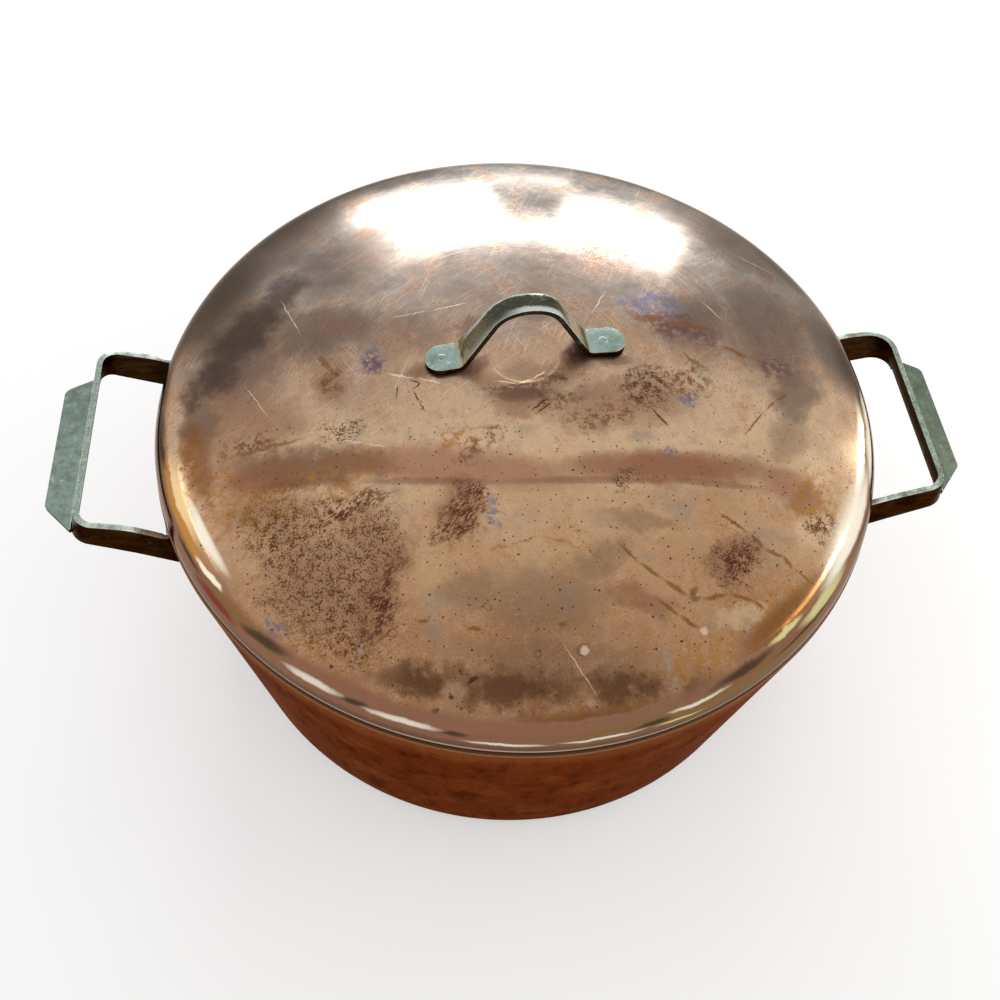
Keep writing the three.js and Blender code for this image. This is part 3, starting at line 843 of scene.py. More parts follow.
# Ellipses on the lid are x, y, half length, half width and turn, in millimetres and degrees.
lidStainsAndReflections = {
    # Painted dark reflections of the surroundings at the left and right of the dome.
    "sideDarkReflection": tintPatch(
        (88, 72, 64), 0.72, 1.0,
        [(-82, -41, 34, 11, -8), (-78, 20, 28, 20, 20), (-106, 18, 40, 28, 85),
         (-121, -14, 22, 10, -90), (101, 22, 42, 28, 85), (72, 20, 26, 20, 55), (106, -12, 24, 12, 60),
         (-98, 80, 66, 26, 50), (100, 76, 60, 22, -50), (-66, 62, 36, 28, 40), (-60, 122, 34, 12, 25),
         (60, 122, 30, 9, -25)],
    ),
    # A painted near-black reflection at the far left of the dome.
    "nearBlackReflection": tintPatch(
        (52, 40, 38), 0.72, 1.0,
        [(-126, 0, 11, 7, 90), (-107, 26, 33, 14, 55), (-117, 8, 15, 11, -80), (-92, 47, 15, 10, 70)],
    ),
    # A painted reflection: a brown band across the dome, with a darker lower edge below it.
    "reflectedBrownBand": tintPatch(
        (148, 102, 78), 0.7, 0.7,
        [(-96, -43, 20, 7.5, 0), (-30, -47, 60, 10, -10), (44, -50, 52, 8, 0), (93, -55, 14, 9, -10)],
        edge="uneven",
    ),
    "reflectedBandLowerEdge": tintPatch(
        (108, 74, 62), 0.5, 0.95,
        [(-83, -47, 21, 2, -4), (-37, -52.5, 32, 2, -6), (19, -55.5, 40, 2, -1), (64, -56.5, 24, 2, -3)],
        edge="crisp",
    ),
    "brownFilm": tintPatch(
        (120, 78, 52), 0.55, 1.0,
        [(-105, -38, 22, 8, -7), (98, -63, 11, 9, 26), (-96, -40, 34, 13, -8), (-64, -42, 24, 9, -10),
         (-100, -52, 16, 8, 10), (31, -99, 16, 6, -20), (34, -23, 38, 16, 10), (0, -22, 18, 9, 10),
         (52, -50, 48, 9, 0), (-72, -5, 14, 9, -85), (-27, -64, 16, 11, 80), (-55, -88, 26, 9, 65),
         (-96, -56, 26, 15, -20), (-112, -22, 10, 26, 0), (66, -84, 15, 10, 25),
         (-101, -20, 26, 17, -10)],
    ),
    "coolFilm": tintPatch(
        (106, 84, 68), 0.45, 1.0,
        [(-48, 16, 26, 16, -14), (5, -9, 22, 8, 0), (1, 24, 20, 8, 0), (-1, -98, 30, 15, 0),
         (19, -85, 16, 7, 35), (-26, -93, 14, 9, -5), (2, -116, 40, 8, -5), (98, -36, 14, 10, 30),
         (35, -71, 18, 5, -10)],
    ),
    "paleFilm": tintPatch(
        (216, 188, 152), 0.4, 1.0,
        [(98, -72, 12, 9, 40), (66, -104, 12, 5, 5), (106, -48, 12, 6, 65)],
    ),
    # Partly painted shadow below and beside the handle's feet and legs, partly smudges.
    "handleShadowAndSmudges": tintPatch(
        (92, 62, 54), 0.62, 1.0,
        [(-19, -5, 10, 5, 35), (20, -3, 9, 6, -20), (-38, -5, 9, 5, 10), (34, -3, 11, 4, 0),
         (-19, 15, 9, 6, 60), (-2, -19, 15, 4, 0)],
        edge="uneven",
    ),
    "frontFilm": tintPatch(
        (76, 48, 32), 0.85, 1.0,
        [(-14, -125, 32, 9, -5), (28, -126, 32, 8, 5), (-42, -120, 20, 8, -10)],
        texture="smoky",
    ),
    "blueHeatTint": tintPatch(
        (100, 100, 130), 0.72, 0.9,
        [(-57, 3, 10, 6, 85), (54, 28, 18, 10, 0), (-15.5, -66, 9, 3, -85), (49.5, -44.5, 5, 3.5, 10),
         (-91.5, -97, 4.5, 3.5, -65), (61, -21, 6.5, 4, 15)],
        texture="cloudy",
    ),
    "purpleHeatTint": tintPatch(
        (92, 66, 70), 0.75, 0.9,
        [(-56.5, 1.5, 8, 4.5, 90), (64, 15, 22, 9, -10), (18.5, 0.5, 5.5, 4, 75), (-6, -16, 14, 3.5, 5),
         (-31.5, 3.5, 6, 3.5, -10), (100, -2, 11, 8, -15)],
        texture="cloudy",
    ),
    "reddishScuffs": tintPatch(
        (146, 88, 72), 0.75, 0.9,
        [(37, 56, 19, 14, -20), (1, 29, 12, 6, 45), (-11, 34, 11, 6, 45), (-26.5, 14, 5, 3.5, -10),
         (22, -10.5, 7, 4.5, 5), (-70, 23, 9, 6.5, -25)],
        texture="speckle",
    ),
    "brownMottling": tintPatch(
        (104, 66, 42), 0.8, 0.85,
        [(46, -16, 15, 12, 35), (12, -21, 12, 4.5, 10), (27, -29, 20, 7, 10), (63, -12, 12, 10, 55),
         (7, -13, 10, 5.5, 35), (-72, -6, 9, 4.5, -85), (103, -71, 11, 6, -15), (-102, -29, 15, 5.5, 5),
         (-18, -38, 16, 6, 30), (-94, -52, 16, 9, 20), (-76, -60, 14, 6, 30)],
        texture="mottle",
    ),
    "brownRuns": tintPatch(
        (122, 78, 46), 0.75, 0.75,
        [(68, 17, 14, 2, -10), (84.5, 4.5, 8, 1.6, -28), (52, 19.5, 9, 2.4, 6), (-75, 4.5, 5, 1.4, -60),
         (66, -2, 7, 1.2, -42), (-96, -30.5, 17, 1.4, 6)],
        edge="uneven",
    ),
    "goldenTarnish": tintPatch(
        (158, 108, 50), 0.75, 0.95,
        [(-95, -59, 23, 16, -40), (-124, -36, 8, 20, 10), (-72, -48, 17, 9, -15),
         (-113, -48, 17, 10, -85), (-72, -99, 24, 15, -35), (49, -118, 26, 7, 15),
         (78, -103, 20, 8, 35), (-28, -36, 16, 5, 5), (103, -60, 17, 12, 60)],
        texture="mottle",
    ),
    "filmUnderSpecks": tintPatch(
        (148, 110, 84), 0.8, 0.8,
        [(-74, -86, 31, 21, -40), (-59, -72, 16, 14, -60), (67, -85, 12, 10, 30)],
    ),
    "darkSpecks": tintPatch(
        (70, 43, 30), 0.9, 0.7,
        [(-74, -86, 33, 24, -40), (-59, -72, 18, 16, -60), (-86, -68, 25, 16, -35),
         (-67, -105, 15, 9, -25), (-68, -28, 12, 6, 0), (67, -85, 14, 11, 30), (31, -55.5, 7, 5, 40),
         (46, -16, 15, 12, 35), (103, -71, 11, 6, -15)],
        texture="speckle",
    ),
    "maroonStrokes": tintPatch(
        (80, 36, 30), 0.9, 0.8,
        [(-26, -65, 13, 8, 75), (-31, -72, 10, 7, 15), (-22, -57.5, 6.5, 5.5, -10),
         (-55, -94, 20, 5.5, 70), (-64, -58, 17, 5, 15), (67, -85, 8, 6, 25)],
        texture="hatch",
    ),
    "faintDrips": tintPatch(
        (136, 96, 56), 0.5, 0.9,
        [(-15.5, -79, 5, 0.7, 10), (-6, -77, 6.5, 0.7, 14), (6, -78, 9, 0.7, -18),
         (18, -84, 7, 0.6, -40)],
        edge="uneven",
    ),
    "drips": tintPatch(
        (116, 76, 30), 0.8, 0.8,
        [(29, -82.5, 5.5, 0.9, -50), (36, -89, 5.5, 1.1, -40), (44, -95, 6, 1.3, -36),
         (50, -98.5, 2.5, 1.5, -14), (57.5, -98, 6, 1.1, 12), (67, -98, 5.5, 1, -14),
         (73, -100.5, 2.5, 0.8, -40), (40.5, -101.5, 5.5, 0.9, -40), (47, -106.5, 4.5, 1.1, -36),
         (69, -71.5, 7.5, 0.9, -36), (76.5, -78, 4, 1.1, -54), (82, -82, 4.5, 1.2, -20),
         (86.5, -85, 3, 1.2, -58), (92, -90, 5.5, 0.8, -38), (50, -96.5, 3, 1.4, 52),
         (85, -29.5, 10, 0.6, 48), (93.5, -20.5, 4.5, 0.6, 44), (99.5, -16, 4, 0.6, 32),
         (-54.5, -105, 4, 0.7, 34), (-25, -105.5, 3, 1, -10), (-41.5, -101.5, 2.5, 0.9, 2),
         (4, -106, 2, 1, -2)],
        edge="crisp",
    ),
    "darkCracks": tintPatch(
        (54, 38, 30), 0.85, 0.6,
        [(-41, -10, 3, 0.4, -24), (-40.5, -12, 2.5, 0.4, 44), (-41, -16.5, 3.5, 0.4, -72),
         (-39, -21.5, 3, 0.4, -68), (-48, -14, 4, 0.3, 82), (4, -23.5, 6, 0.5, 40),
         (5.5, -25, 5.5, 0.4, 38), (48, -29.5, 6, 0.6, -56), (-72, -112.5, 0.9, 0.8, 0),
         (-33.5, -126, 1.2, 1, 0), (-26.5, -121.5, 2.4, 1, 20), (-39, -129.5, 1.5, 1.2, 0)],
        edge="crisp",
    ),
    # A painted highlight on the lower rim of the spun centre.
    "centreRimHighlight": tintPatch(
        (246, 214, 170), 0.8, 0.9,
        [(-7.5, -13, 5, 0.5, -12), (-0.5, -13, 4, 0.7, 16), (5, -10, 4, 0.5, 32)],
        edge="crisp",
    ),
    "brightScratches": tintPatch(
        (238, 222, 198), 0.55, 0.8,
        [(-41.5, 24.5, 9, 0.3, 8), (-26, 27, 9, 0.4, 12), (-63.5, -33.5, 4.5, 0.3, -20),
         (-56, -36, 5, 0.3, -16), (-46.5, -6.5, 6.5, 0.5, -20), (-36, -10, 6.5, 0.4, -20),
         (32.5, 27.5, 10, 0.3, 60), (-100, -9, 12, 0.2, -60), (-89, 32, 14, 0.3, -68),
         (79, 27, 7.5, 0.3, -56), (107, 61, 11, 0.3, -32), (8.5, -120.5, 13, 0.2, -60)],
        edge="crisp",
    ),
}
# Rings that dried drops left, and pale dots. Their numbers are those of the stains.
lidRings = [
    (10.0, -114.5, 2.7, 2.5, 19),
    (-4.9, -115.0, 1.6, 1.6, 8),
    (9.3, -133.1, 2.0, 1.7, 4),
    (-51.7, -104.4, 2.0, 1.6, -39),
    (-20.5, -98.8, 2.2, 1.4, -31),
]
paleDots = [(10.6, -114.7, 2.0, 1.9, 19), (51.8, -109.4, 1.8, 1.6, 29)]

# Patches on the shoulder, nearly all painted reflections: highlights, glints, sheens and coloured and
# dark reflections of the surroundings. Their x is the angle round the lid. Their y is below 0 on the
# dome, where it is millimetres from the shoulder's start, and grows towards 87 as the surface turns
# upright.
shoulderReflections = {
    "brownEdge": tintPatch(
        (116, 74, 38), 0.8, 1.0,
        [(-166, -9, 12, 7, 0), (-52, -2, 13, 6, 0), (-86, 2, 14, 5, 0)],
    ),
    "greyEdge": tintPatch(
        (102, 92, 84), 0.9, 1.0,
        [(7, -5, 14, 11, 0), (28, 0, 12, 6, 0), (111, -4, 14, 8, 0)],
    ),
    "oliveSheen": tintPatch((128, 98, 60), 0.8, 1.0, [(-68, 46, 34, 34, 0), (-140, 22, 14, 16, 0)]),
    "darkShoulderReflection": tintPatch(
        (70, 58, 49), 0.9, 0.8,
        [(174, 26, 16, 26, 0), (157, 4, 20, 30, 0), (132, 12, 38, 30, 0), (2, 6, 12, 14, 0),
         (-174, 20, 8, 20, 0)],
    ),
    "goldenLeft": tintPatch((196, 136, 64), 0.85, 0.9, [(-158, 10, 18, 13, 0)]),
    "paleGoldLeft": tintPatch((250, 214, 160), 0.85, 0.9, [(-161, 1, 11, 5.5, 0)]),
    "whiteLines": tintPatch((250, 240, 220), 0.9, 0.9, [(-152, -3, 9, 2.2, 4), (-16, -1, 12, 2.4, 0)]),
    "whiteSheen": tintPatch(
        (250, 240, 218), 1.0, 0.6,
        [(-31, 7, 15, 15, 0), (-12, 18, 11, 16, 0), (-147, 12, 4, 6, 0)],
    ),
    "redBlush": tintPatch((122, 34, 36), 0.8, 0.8, [(-143.5, 40, 6.5, 14, 0)]),
    "yellowGlints": tintPatch(
        (216, 208, 146), 0.9, 0.7,
        [(-44, 21, 8, 14, 0), (-53, 6, 4.5, 6, 0), (-73, 56, 5, 4, 0)],
    ),
    "darkGlints": tintPatch(
        (54, 44, 34), 0.8, 0.9,
        [(-133, 20, 4.5, 17, 10), (-118, 34, 2.6, 12, 10), (-104, 40, 2.4, 9, 0), (-77, 44, 3.4, 9, 0),
         (-62, 16, 7, 11, 10), (-50, 36, 9, 5, 0), (-25, 30, 12, 5, 0), (-171, 14, 4, 8, 20),
         (-152, 28, 5, 7, 20)],
    ),
    "whiteGlints": tintPatch(
        (230, 222, 204), 0.9, 0.9,
        [(-124.5, 34, 5.5, 12, 0), (-111, 37, 6.5, 10, 0), (-97, 56, 7, 6, 0), (-84, 52, 7, 5, 0),
         (-70, 30, 6, 6, 10)],
    ),
}


def makeLidCopper():
    look = lidLook
    finish = Finish("lidCopper")
    x, y = finish.place.axis(0), finish.place.axis(1)
    noises = look["noises"]
    cloud = finish.noise(noises["cloud"], 3.0, 0.6, flat=True)
    smoke = finish.noise(noises["smoke"], 5.0, 0.62, flat=True)
    grain = finish.noise(noises["grain"], 4.0, 0.75, flat=True)
    blotch = finish.noise(noises["blotch"], 6.0, 0.72, flat=True)
    brushing = finish.turnedStreaks(*look["brushing"])
    broken = grain + blotch.swing(0.7)
    hatch = finish.streaks(58, 3.6, 0.6, 4.0).math("MAXIMUM", finish.streaks(24, 3.0, 0.6, 4.0, 60))
    hatch = hatch + blotch.swing(0.5)
    textures = {
        "cloudy": blotch.ramp(0.36, 0.56),
        "mottle": (blotch + grain * 0.3).ramp(0.6, 0.74),
        "speckle": broken.ramp(0.47, 0.62),
        "smoky": smoke.ramp(0.3, 0.56),
        "hatch": hatch.ramp(0.49, 0.6),
    }

    # Tones along y, partly painted reflection, with soft clouds over them.
    along = y + cloud * 70.0
    colour = finish.gradient(along.ramp(*look["toneSpan"]), look["tonesWithReflection"])
    colour = finish.coats(
        colour,
        (look["warm"], smoke, 0.5, 0.76, 0.0, 0.6),
        (look["grey"], smoke, 0.48, 0.25, 0.0, 0.5),
    )

    # A fine dark and pale grain all over.
    dull = smoke.ramp(0.42, 0.62, 0.2, 1.0)
    colour = finish.tint(colour, look["speck"], broken.ramp(0.5, 0.72, 0.0, 0.3) * dull)
    colour = finish.coats(colour, (look["pale"], broken, 0.48, 0.28, 0.0, 0.12))

    # Fine brushing round the lid, and hairline scratches in patches of the upper half.
    upper = y.ramp(-70.0, 40.0, 0.25, 1.0)
    colour = finish.tint(colour, look["pale"], brushing.ramp(0.5, 0.75, 0.0, 0.22) * upper)
    colour = finish.tint(colour, look["speck"], brushing.ramp(0.46, 0.28, 0.0, 0.2) * upper)
    hair = None
    for turn, offset, low in look["hairlines"]:
        line = finish.streaks(turn, 40, 0.42, 1.0, offset).ramp(0.64, 0.7)
        line = line * smoke.ramp(low, low + 0.08)
        hair = hair.math("MAXIMUM", line) if hair else line
    hair = hair * y.ramp(-60.0, 0.0, 0.15, 1.0)
    colour = finish.tint(colour, look["pale"], hair * 0.32)

    tintedArea = None
    edges = {edge: finish.warped(size, 0.9 / (1.5 + size)) for edge, size in edgeShift.items()}
    for mark in lidStainsAndReflections.values():
        mask = inEllipses(mark["spots"], edges[mark["edge"]], mark["softness"])
        if mark["texture"]:
            mask = mask * textures[mark["texture"]]
        mask = mask * mark["amount"]
        colour = finish.tint(colour, mark["tint"], mask)
        tintedArea = tintedArea.math("MAXIMUM", mask) if tintedArea else mask

    # A ring is an ellipse less a smaller one.
    edge, share = edges["crisp"], look["ringInner"]
    ring = inEllipses(lidRings, edge, 0.35)
    smaller = [(a, b, c * share, d * share, turn) for a, b, c, d, turn in lidRings]
    ring = ring.math("SUBTRACT", inEllipses(smaller, edge, 0.4), clamp=True)
    colour = finish.tint(colour, look["ring"], ring * look["ringAmount"])
    dots = inEllipses(paleDots, edge, 0.5)
    colour = finish.tint(colour, look["dot"], dots * look["ringAmount"])

    # Small dark specks, thicker in front.
    front = (y + smoke * 60.0).ramp(70.0, -40.0, 0.1, 0.9)
    for size, share, widest in look["specks"]:
        inputs = {"Vector": finish.place, "Scale": size}
        cells = finish.add("ShaderNodeTexVoronoi", inputs, "Distance", voronoi_dimensions="2D")
        random = finish.add("ShaderNodeSeparateColor", {0: cells.sibling("Color")})
        speck = cells.math("LESS_THAN", random.ramp(share, 1.0, 0.02, widest))
        speck = speck * random.math("GREATER_THAN", share) * front
        colour = finish.tint(colour, look["speck"], speck)

    # The shoulder: painted darker in mauve as it turns down, patches of painted reflection, and a curled
    # edge painted dark as a dark reflection with a painted highlight on its lip.
    ragged = smoke.swing(0.14)
    up = finish.facing + ragged
    colour = finish.coats(
        colour,
        (look["mauve"], up, 0.92, 0.76, 0.0, 0.85),
        (look["edge"], up, 0.34, 0.1, 0.0, 0.55),
    )
    around = y.math("ARCTAN2", x) * (180 / math.pi) + ragged * 20.0
    outwards = finish.place.vector("MULTIPLY", (1, 1, 0)).vector("LENGTH")
    dome = (outwards - look["shoulderAt"]).math("MINIMUM", 0.0)
    turned = (look["shoulderFacing"] - up) * 100.0
    band = finish.plane(around, dome + turned.math("MAXIMUM", 0.0))
    for mark in shoulderReflections.values():
        mask = inEllipses(mark["spots"], band, mark["softness"])
        colour = finish.tint(colour, mark["tint"], mask * mark["amount"])
    # A painted highlight along the lip of the curled edge.
    lip = finish.facing.ramp(-0.3, -0.12) * finish.facing.ramp(0.08, -0.02)
    colour = finish.tint(colour, look["pale"], lip * 0.7)

    low, high = look["roughness"]
    rough = smoke.ramp(0.3, 0.75, low, low + 0.06) + tintedArea * (high - low)
    rough = rough + brushing.ramp(0.45, 0.75, 0.0, 0.05)
    handled = inEllipses([(*look["handled"], 0)], edges["ragged"], 1.0)
    rough = rough + handled * look["handledRoughness"]
    height = brushing + grain * 0.3
    height = height + finish.noise(noises["dents"], 1.0, 0.4, flat=True) * look["dents"]
    values = {"Metallic": 1.0, "Specular Tint": look["edgeTint"]}
    return finish.metal(colour, rough, height, look["bumpDepth"], values)


# Pot copper: dark orange-brown, streaked down the wall, brighter under the rim.
potLook = {
    "dark": paint(74, 38, 18),
    "middle": paint(124, 68, 32),
    "light": paint(164, 106, 62),
    "rim": paint(136, 96, 68),
    "base": paint(48, 32, 24),
    "metal": {"Metallic": 0.85, "Specular Tint": (0.3, 0.18, 0.1), "Specular IOR Level": 0.0},
    "roughness": 0.48,
    "bumpDepth": 0.00001,
    # Streaks: how fine they are round the wall, outwards and upwards, and their detail.
    "fineStreaks": (110.0, 0.0, 0.12, 4.0),
    "broadStreaks": (20.0, 0.0, 0.06, 5.0),
    "litUnderRim": (104.0, 119.0),
    "rimFrom": (119.6, 120.8),
}


def makePotCopper():
    look = potLook
    finish = Finish("potCopper")
    z = finish.place.axis(2)
    fine = finish.turnedStreaks(*look["fineStreaks"])
    broad = finish.turnedStreaks(*look["broadStreaks"])
    cloud = finish.noise(0.05, 5.0, 0.66)
    colour = finish.coats(
        look["dark"],
        (look["middle"], broad, 0.3, 0.56, 0.35, 1.0),
        (look["light"], cloud, 0.46, 0.75, 0.0, 0.55),
        (look["dark"], fine, 0.52, 0.78, 0.0, 0.4),
        (look["light"], fine, 0.46, 0.25, 0.0, 0.3),
        (look["light"], z, *look["litUnderRim"], 0.0, 0.55),
        (look["rim"], z, *look["rimFrom"]),
        (look["base"], finish.facing, -0.5, -0.9),
    )
    rough = fine.ramp(0.3, 0.7, look["roughness"] - 0.05, look["roughness"] + 0.1)
    height = fine + cloud * 8.0
    return finish.metal(colour, rough, height, look["bumpDepth"], look["metal"])


# Tin lining and collar: satin grey, wiped round and round.
tinLook = {
    "light": paint(188, 184, 176),
    "dark": paint(136, 130, 122),
    # Wiping marks, given as the streaks are.
    "wiping": (9.0, 1.1, 1.1, 3.0),
    "roughness": 0.34,
    "bumpDepth": 0.00001,
}


def makeTin():
    look = tinLook
    finish = Finish("tinLining")
    wiped = finish.turnedStreaks(*look["wiping"])
    cloud = finish.noise(0.04, 5.0, 0.6)
    colour = finish.coats(
        look["light"],
        (look["dark"], cloud, 0.4, 0.7),
        (look["dark"], wiped, 0.52, 0.7, 0.0, 0.4),
    )
    rough = wiped.ramp(0.3, 0.7, look["roughness"] - 0.06, look["roughness"] + 0.1)
    return finish.metal(colour, rough, wiped, look["bumpDepth"], {"Metallic": 1.0})


# Brass: grey-green where it lies open to the air, its sides painted dark brown as a dark reflection, and
# a painted highlight on its edges.
brassLook = {
    "patina": paint(122, 138, 130),
    "blue": paint(106, 122, 118),
    "olive": paint(92, 98, 74),
    "pale": paint(160, 176, 168),
    "strapEdge": paint(156, 170, 160),
    # bright and bend are painted highlights, bright also polish; brown and black also paint the sides as
    # a dark reflection.
    "bright": paint(228, 234, 226),
    "bend": paint(166, 158, 128),
    "brown": paint(60, 37, 16),
    "black": paint(30, 18, 9),
    "under": paint(150, 116, 84),
    # Fine lines down the sides, given as the streaks are.
    "drawnLines": (60.0, 0.0, 0.5, 4.0),
    "metal": {"Metallic": 0.75, "Specular Tint": (0.5, 0.45, 0.4), "Specular IOR Level": 0.0},
    "roughness": 0.28,
    "archRoughness": 0.2,
    "bumpDepth": 0.00002,
}


# The strength makes a lighter or darker copy of the tarnish by channel, which is partly painted light
# and shade for how light falls on each handle. The strap is the top of a side handle, whose narrow upper
# edge is polished by use, and the arch is what the lid handle's grip has of its own.
def makeBrass(name, strength, strap=None, arch=None):
    look = brassLook
    finish = Finish(name)
    z = finish.place.axis(2)
    cloud = finish.noise(0.05, 5.0, 0.65)
    blotch = finish.noise(0.3, 6.0, 0.72)
    grain = finish.noise(1.6, 4.0, 0.75)
    drawn = finish.turnedStreaks(*look["drawnLines"])
    up = finish.facing

    def shown(colour):
        return tuple(channel * share for channel, share in zip(colour, strength))

    top = finish.coats(
        shown(look["patina"]),
        (shown(look["blue"]), cloud, 0.4, 0.6),
        (shown(look["olive"]), blotch, 0.46, 0.66, 0.0, 0.7),
        (shown(look["pale"]), blotch, 0.42, 0.3, 0.0, 0.8),
        (look["brown"], grain, 0.54, 0.74, 0.0, 0.55),
    )
    if strap:
        polishAndHighlight = finish.coats(
            look["strapEdge"],
            (shown(look["patina"]), blotch, 0.42, 0.62),
            (look["bright"], grain, 0.47, 0.3, 0.0, 0.8),
            (look["brown"], grain, 0.53, 0.66, 0.0, 0.7),
        )
        top = finish.coats(top, (polishAndHighlight, z, strap - 4.0, strap - 2.0))
    # The sides: painted dark brown and black as a dark reflection, with lines drawn down them.
    sides = finish.coats(
        look["brown"],
        (look["black"], drawn, 0.36, 0.7),
        (look["black"], cloud, 0.42, 0.62, 0.0, 0.8),
        (look["olive"], blotch, 0.56, 0.76, 0.0, 0.35),
    )
    colour = finish.coats(sides, (top, up, 0.5, 0.9))
    # A painted highlight, broken up like wear, where faces slope and at bends.
    wearAndHighlight = up.ramp(0.2, 0.5) * up.ramp(0.99, 0.93) * blotch.ramp(0.6, 0.42, 0.25, 0.95)
    colour = finish.tint(colour, look["bend"] if arch else look["bright"], wearAndHighlight)
    rough = look["roughness"]
    if arch:
        x, y = finish.place.axis(0), finish.place.axis(1)
        # The arch: a golden left leg, a right leg painted near white as a highlight, a crown painted
        # dark as a dark reflection, and painted highlight stripes along its front and back edges.
        bowed = finish.coats(
            arch["left"],
            (arch["right"], x, *arch["legSpan"]),
            (arch["crown"], z, arch["high"] + 2.0, arch["top"]),
        )
        front = y + x * arch["skew"] + blotch.swing(3.0)
        polishAndHighlight = front.ramp(*arch["frontHighlight"]) * x.ramp(-11.0, 0.0)
        polishAndHighlight = polishAndHighlight * z.ramp(arch["top"] - 9.0, arch["top"] - 3.0)
        bowed = finish.tint(bowed, look["bright"], polishAndHighlight * 0.7)
        bowed = finish.coats(
            bowed,
            (look["bright"], front, *arch["backEdgeHighlight"], 0.0, 0.7),
            (look["black"], grain, 0.5, 0.75, 0.0, 0.4),
            (look["bright"], drawn, 0.58, 0.72, 0.0, 0.4),
        )
        bowed = finish.coats(look["under"], (bowed, up, -0.08, 0.04))
        across = finish.normal.axis(1).math("ABSOLUTE", 0.0)
        rim = finish.coats(
            look["patina"],
            (arch["rim"], blotch, 0.32, 0.46),
            (look["black"], grain, 0.5, 0.7, 0.0, 0.6),
        )
        bowed = finish.coats(bowed, (rim, across, 0.6, 0.85))
        # A painted highlight along the bevels.
        bevel = across.ramp(0.12, 0.4) * across.ramp(0.9, 0.7)
        bowed = finish.tint(bowed, look["bright"], bevel * 0.8)
        colour = finish.coats(colour, (bowed, z, arch["low"], arch["high"]))
        rough = look["archRoughness"]
    roughness = blotch.ramp(0.35, 0.7, rough - 0.05, rough + 0.14)
    height = grain + cloud * 6.0
    return finish.metal(colour, roughness, height, look["bumpDepth"], look["metal"])


print("finishes")
lidCopper = makeLidCopper()
potCopper = makePotCopper()
tin = makeTin()
leftTop, rightTop = (pot["height"] - own["belowRim"] for own in (leftHandle, rightHandle))
# Lighter and darker copies of one brass for each handle, partly painted light and shade.
brassLeft = makeBrass("brassLeft", (1.3, 1.3, 1.28), strap=leftTop)
brassRight = makeBrass("brassRight", (0.98, 0.94, 0.78), strap=rightTop)
lidTop = pot["height"] + lid["rise"]
lidArch = {
    "low": lidTop + 3.0,
    "high": lidTop + 9.0,
    "top": lidTop + 24.0,
    "skew": -0.1,
    "legSpan": (-6.0, 11.0),
    # Where the painted highlight stripes run along the front and the back edge of the crown.
    "frontHighlight": (0.4, -1.4),
    "backEdgeHighlight": (4.9, 5.8),
    "left": paint(118, 104, 84),
    # The right leg's near white is a painted highlight, and the crown's dark olive a painted dark
    # reflection.
    "right": paint(252, 240, 208),
    "crown": paint(66, 68, 56),
    "rim": paint(66, 64, 50),
}
brassLid = makeBrass("brassLid", (1.75, 1.8, 1.85), arch=lidArch)
brassLidRivet = makeBrass("brassLidRivet", (1.6, 1.6, 1.6))

for piece, coats in [
    (potBody, (potCopper, tin)),
    (lidShell, (lidCopper, tin)),
    (lidCollar, (tin,)),
    (sideHandleLeft, (brassLeft,)),
    (sideHandleRight, (brassRight,)),
    (lidHandleStrap, (brassLid,)),
    *[(piece, (brassLeft,)) for node, piece in sideRivets.items() if "left" in node],
    *[(piece, (brassRight,)) for node, piece in sideRivets.items() if "right" in node],
    *[(piece, (brassLidRivet,)) for piece in lidRivets.values()],
]:
    sides = [polygon.material_index for polygon in piece.data.polygons]
    piece.data.materials.clear()
    for coat in coats:
        piece.data.materials.append(coat)
    piece.data.polygons.foreach_set("material_index", sides)

# The camera looks at the middle of the pot's rim. Its clip distances are metres.
camera = {
    "distance": 452,
    "elevation": 52.4,
    "turn": -9.0,
    "roll": 5.0,
    "lens": 40.39,
    "sensor": 36,
    "clip": (0.01, 20),
    "shiftX": -0.0185,
    "shiftY": -0.0873,
}
# The floor's size is metres. The lamps aim at a point above the rim.
studio = {
    "floorSize": 8,
    "floorColour": 0.72,
    "floorGlow": 0.4,
    "skyLevel": 0.72,
    "aimAboveRim": 20,
}

# Lamps stand round the lid and face it. Their size is width and height, and roll turns them.
lamps = {
    "windowLeft": {
        "azimuth": 94.5,
        "elevation": 18.5,
        "distance": 1200,
        "size": (360, 330),
        "level": 7,
        "roll": 8,
    },
    "windowRight": {"azimuth": 70, "elevation": 19, "distance": 1200, "size": (320, 290), "level": 6},
    "windowTop": {"azimuth": 82, "elevation": 8.5, "distance": 1200, "size": (190, 50), "level": 6},
    "windowSpot": {"azimuth": 81.5, "elevation": 22.5, "distance": 1200, "size": (120, 90), "level": 7},
    "sideRight": {"azimuth": 20, "elevation": 18, "distance": 900, "size": (90, 320), "level": 3},
    "lowRight": {
        "azimuth": -8,
        "elevation": 32,
        "distance": 900,
        "size": (330, 110),
        "level": 5,
        "colour": (1, 0.97, 0.8),
    },
    "sideLeft": {"azimuth": 164, "elevation": 36, "distance": 900, "size": (420, 24), "level": 2.5},
}


def makeStage():
    bpy.ops.mesh.primitive_plane_add(size=studio["floorSize"], location=(0, 0, 0))
    floor = bpy.context.object
    floor.name = "floor"
    finish = Finish("floorPaint")
    glow = finish.seen() * studio["floorGlow"]
    glow = finish.add("ShaderNodeEmission", {"Color": (1, 1, 1), "Strength": glow})
    level = studio["floorColour"]
    paper = finish.noise(0.05, 3.0)
    shade = finish.tint((level, level, level), (level * 0.99,) * 3, paper)
    matt = finish.add("ShaderNodeBsdfDiffuse", {"Color": shade})
    finish.show(finish.add("ShaderNodeAddShader", {0: matt, 1: glow}))
    floor.data.materials.append(finish.owner)


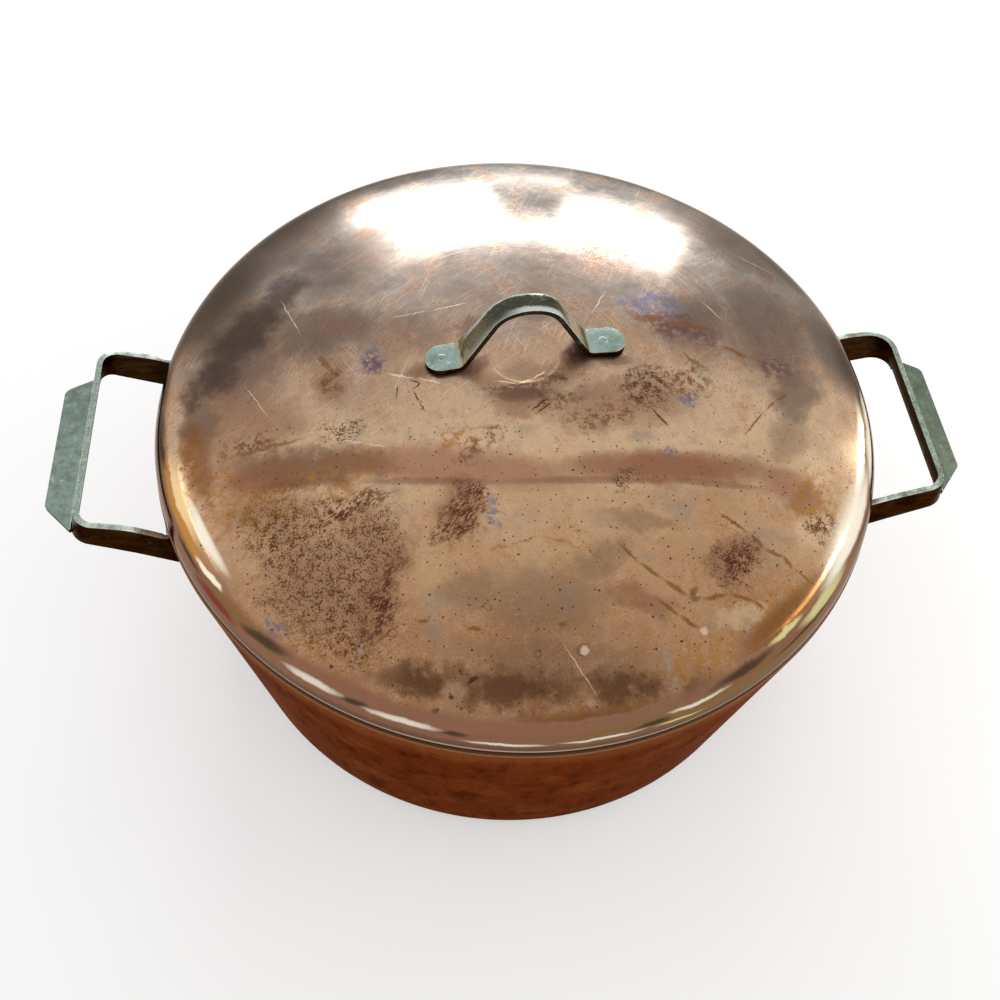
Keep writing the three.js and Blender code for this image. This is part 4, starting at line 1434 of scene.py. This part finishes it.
# The world is white to the camera and to reflections, and a little dimmer as light.
def makeWorld():
    world = bpy.data.worlds.new("studioWorld")
    bpy.context.scene.world = world
    nodes = Nodes(world, "World")
    inputs = {0: nodes.seen(), 3: studio["skyLevel"], 4: 1}
    level = nodes.add("ShaderNodeMapRange", inputs)
    nodes.show(nodes.add("ShaderNodeBackground", {"Color": (1, 1, 1), "Strength": level}))


def makeLamps():
    target = Vector((0, 0, pot["height"] + studio["aimAboveRim"])) * mm
    for name, lamp in lamps.items():
        data = bpy.data.lights.new(name, "AREA")
        data.shape = "RECTANGLE"
        data.size, data.size_y = (s * mm for s in lamp["size"])
        data.energy = lamp["level"] * math.pi * data.size * data.size_y
        data.color = lamp.get("colour", (1, 1, 1))
        a, e = math.radians(lamp["azimuth"]), math.radians(lamp["elevation"])
        out = Vector((math.cos(a) * math.cos(e), math.sin(a) * math.cos(e), math.sin(e)))
        light = bpy.data.objects.new(name, data)
        light.location = target + out * lamp["distance"] * mm
        light.rotation_mode = "QUATERNION"
        tip = Quaternion((0, 0, 1), math.radians(lamp.get("roll", 0)))
        light.rotation_quaternion = out.to_track_quat("Z", "Y") @ tip
        bpy.context.scene.collection.objects.link(light)


def makeCamera():
    data = bpy.data.cameras.new("camera")
    data.sensor_width = camera["sensor"]
    data.lens = camera["lens"]
    data.shift_x, data.shift_y = camera["shiftX"], camera["shiftY"]
    data.clip_start, data.clip_end = camera["clip"]
    e, a = math.radians(camera["elevation"]), math.radians(camera["turn"])
    back = Vector((math.sin(a) * math.cos(e), -math.cos(a) * math.cos(e), math.sin(e)))
    view = bpy.data.objects.new("camera", data)
    view.location = Vector((0, 0, pot["height"] * mm)) + back * camera["distance"] * mm
    view.rotation_mode = "QUATERNION"
    aimed = back.to_track_quat("Z", "Y")
    view.rotation_quaternion = aimed @ Quaternion((0, 0, 1), math.radians(camera["roll"]))
    bpy.context.scene.collection.objects.link(view)
    bpy.context.scene.camera = view


print("stage, lamps and camera")
makeStage()
makeWorld()
makeLamps()
makeCamera()
bpy.context.scene.view_settings.view_transform = "Standard"
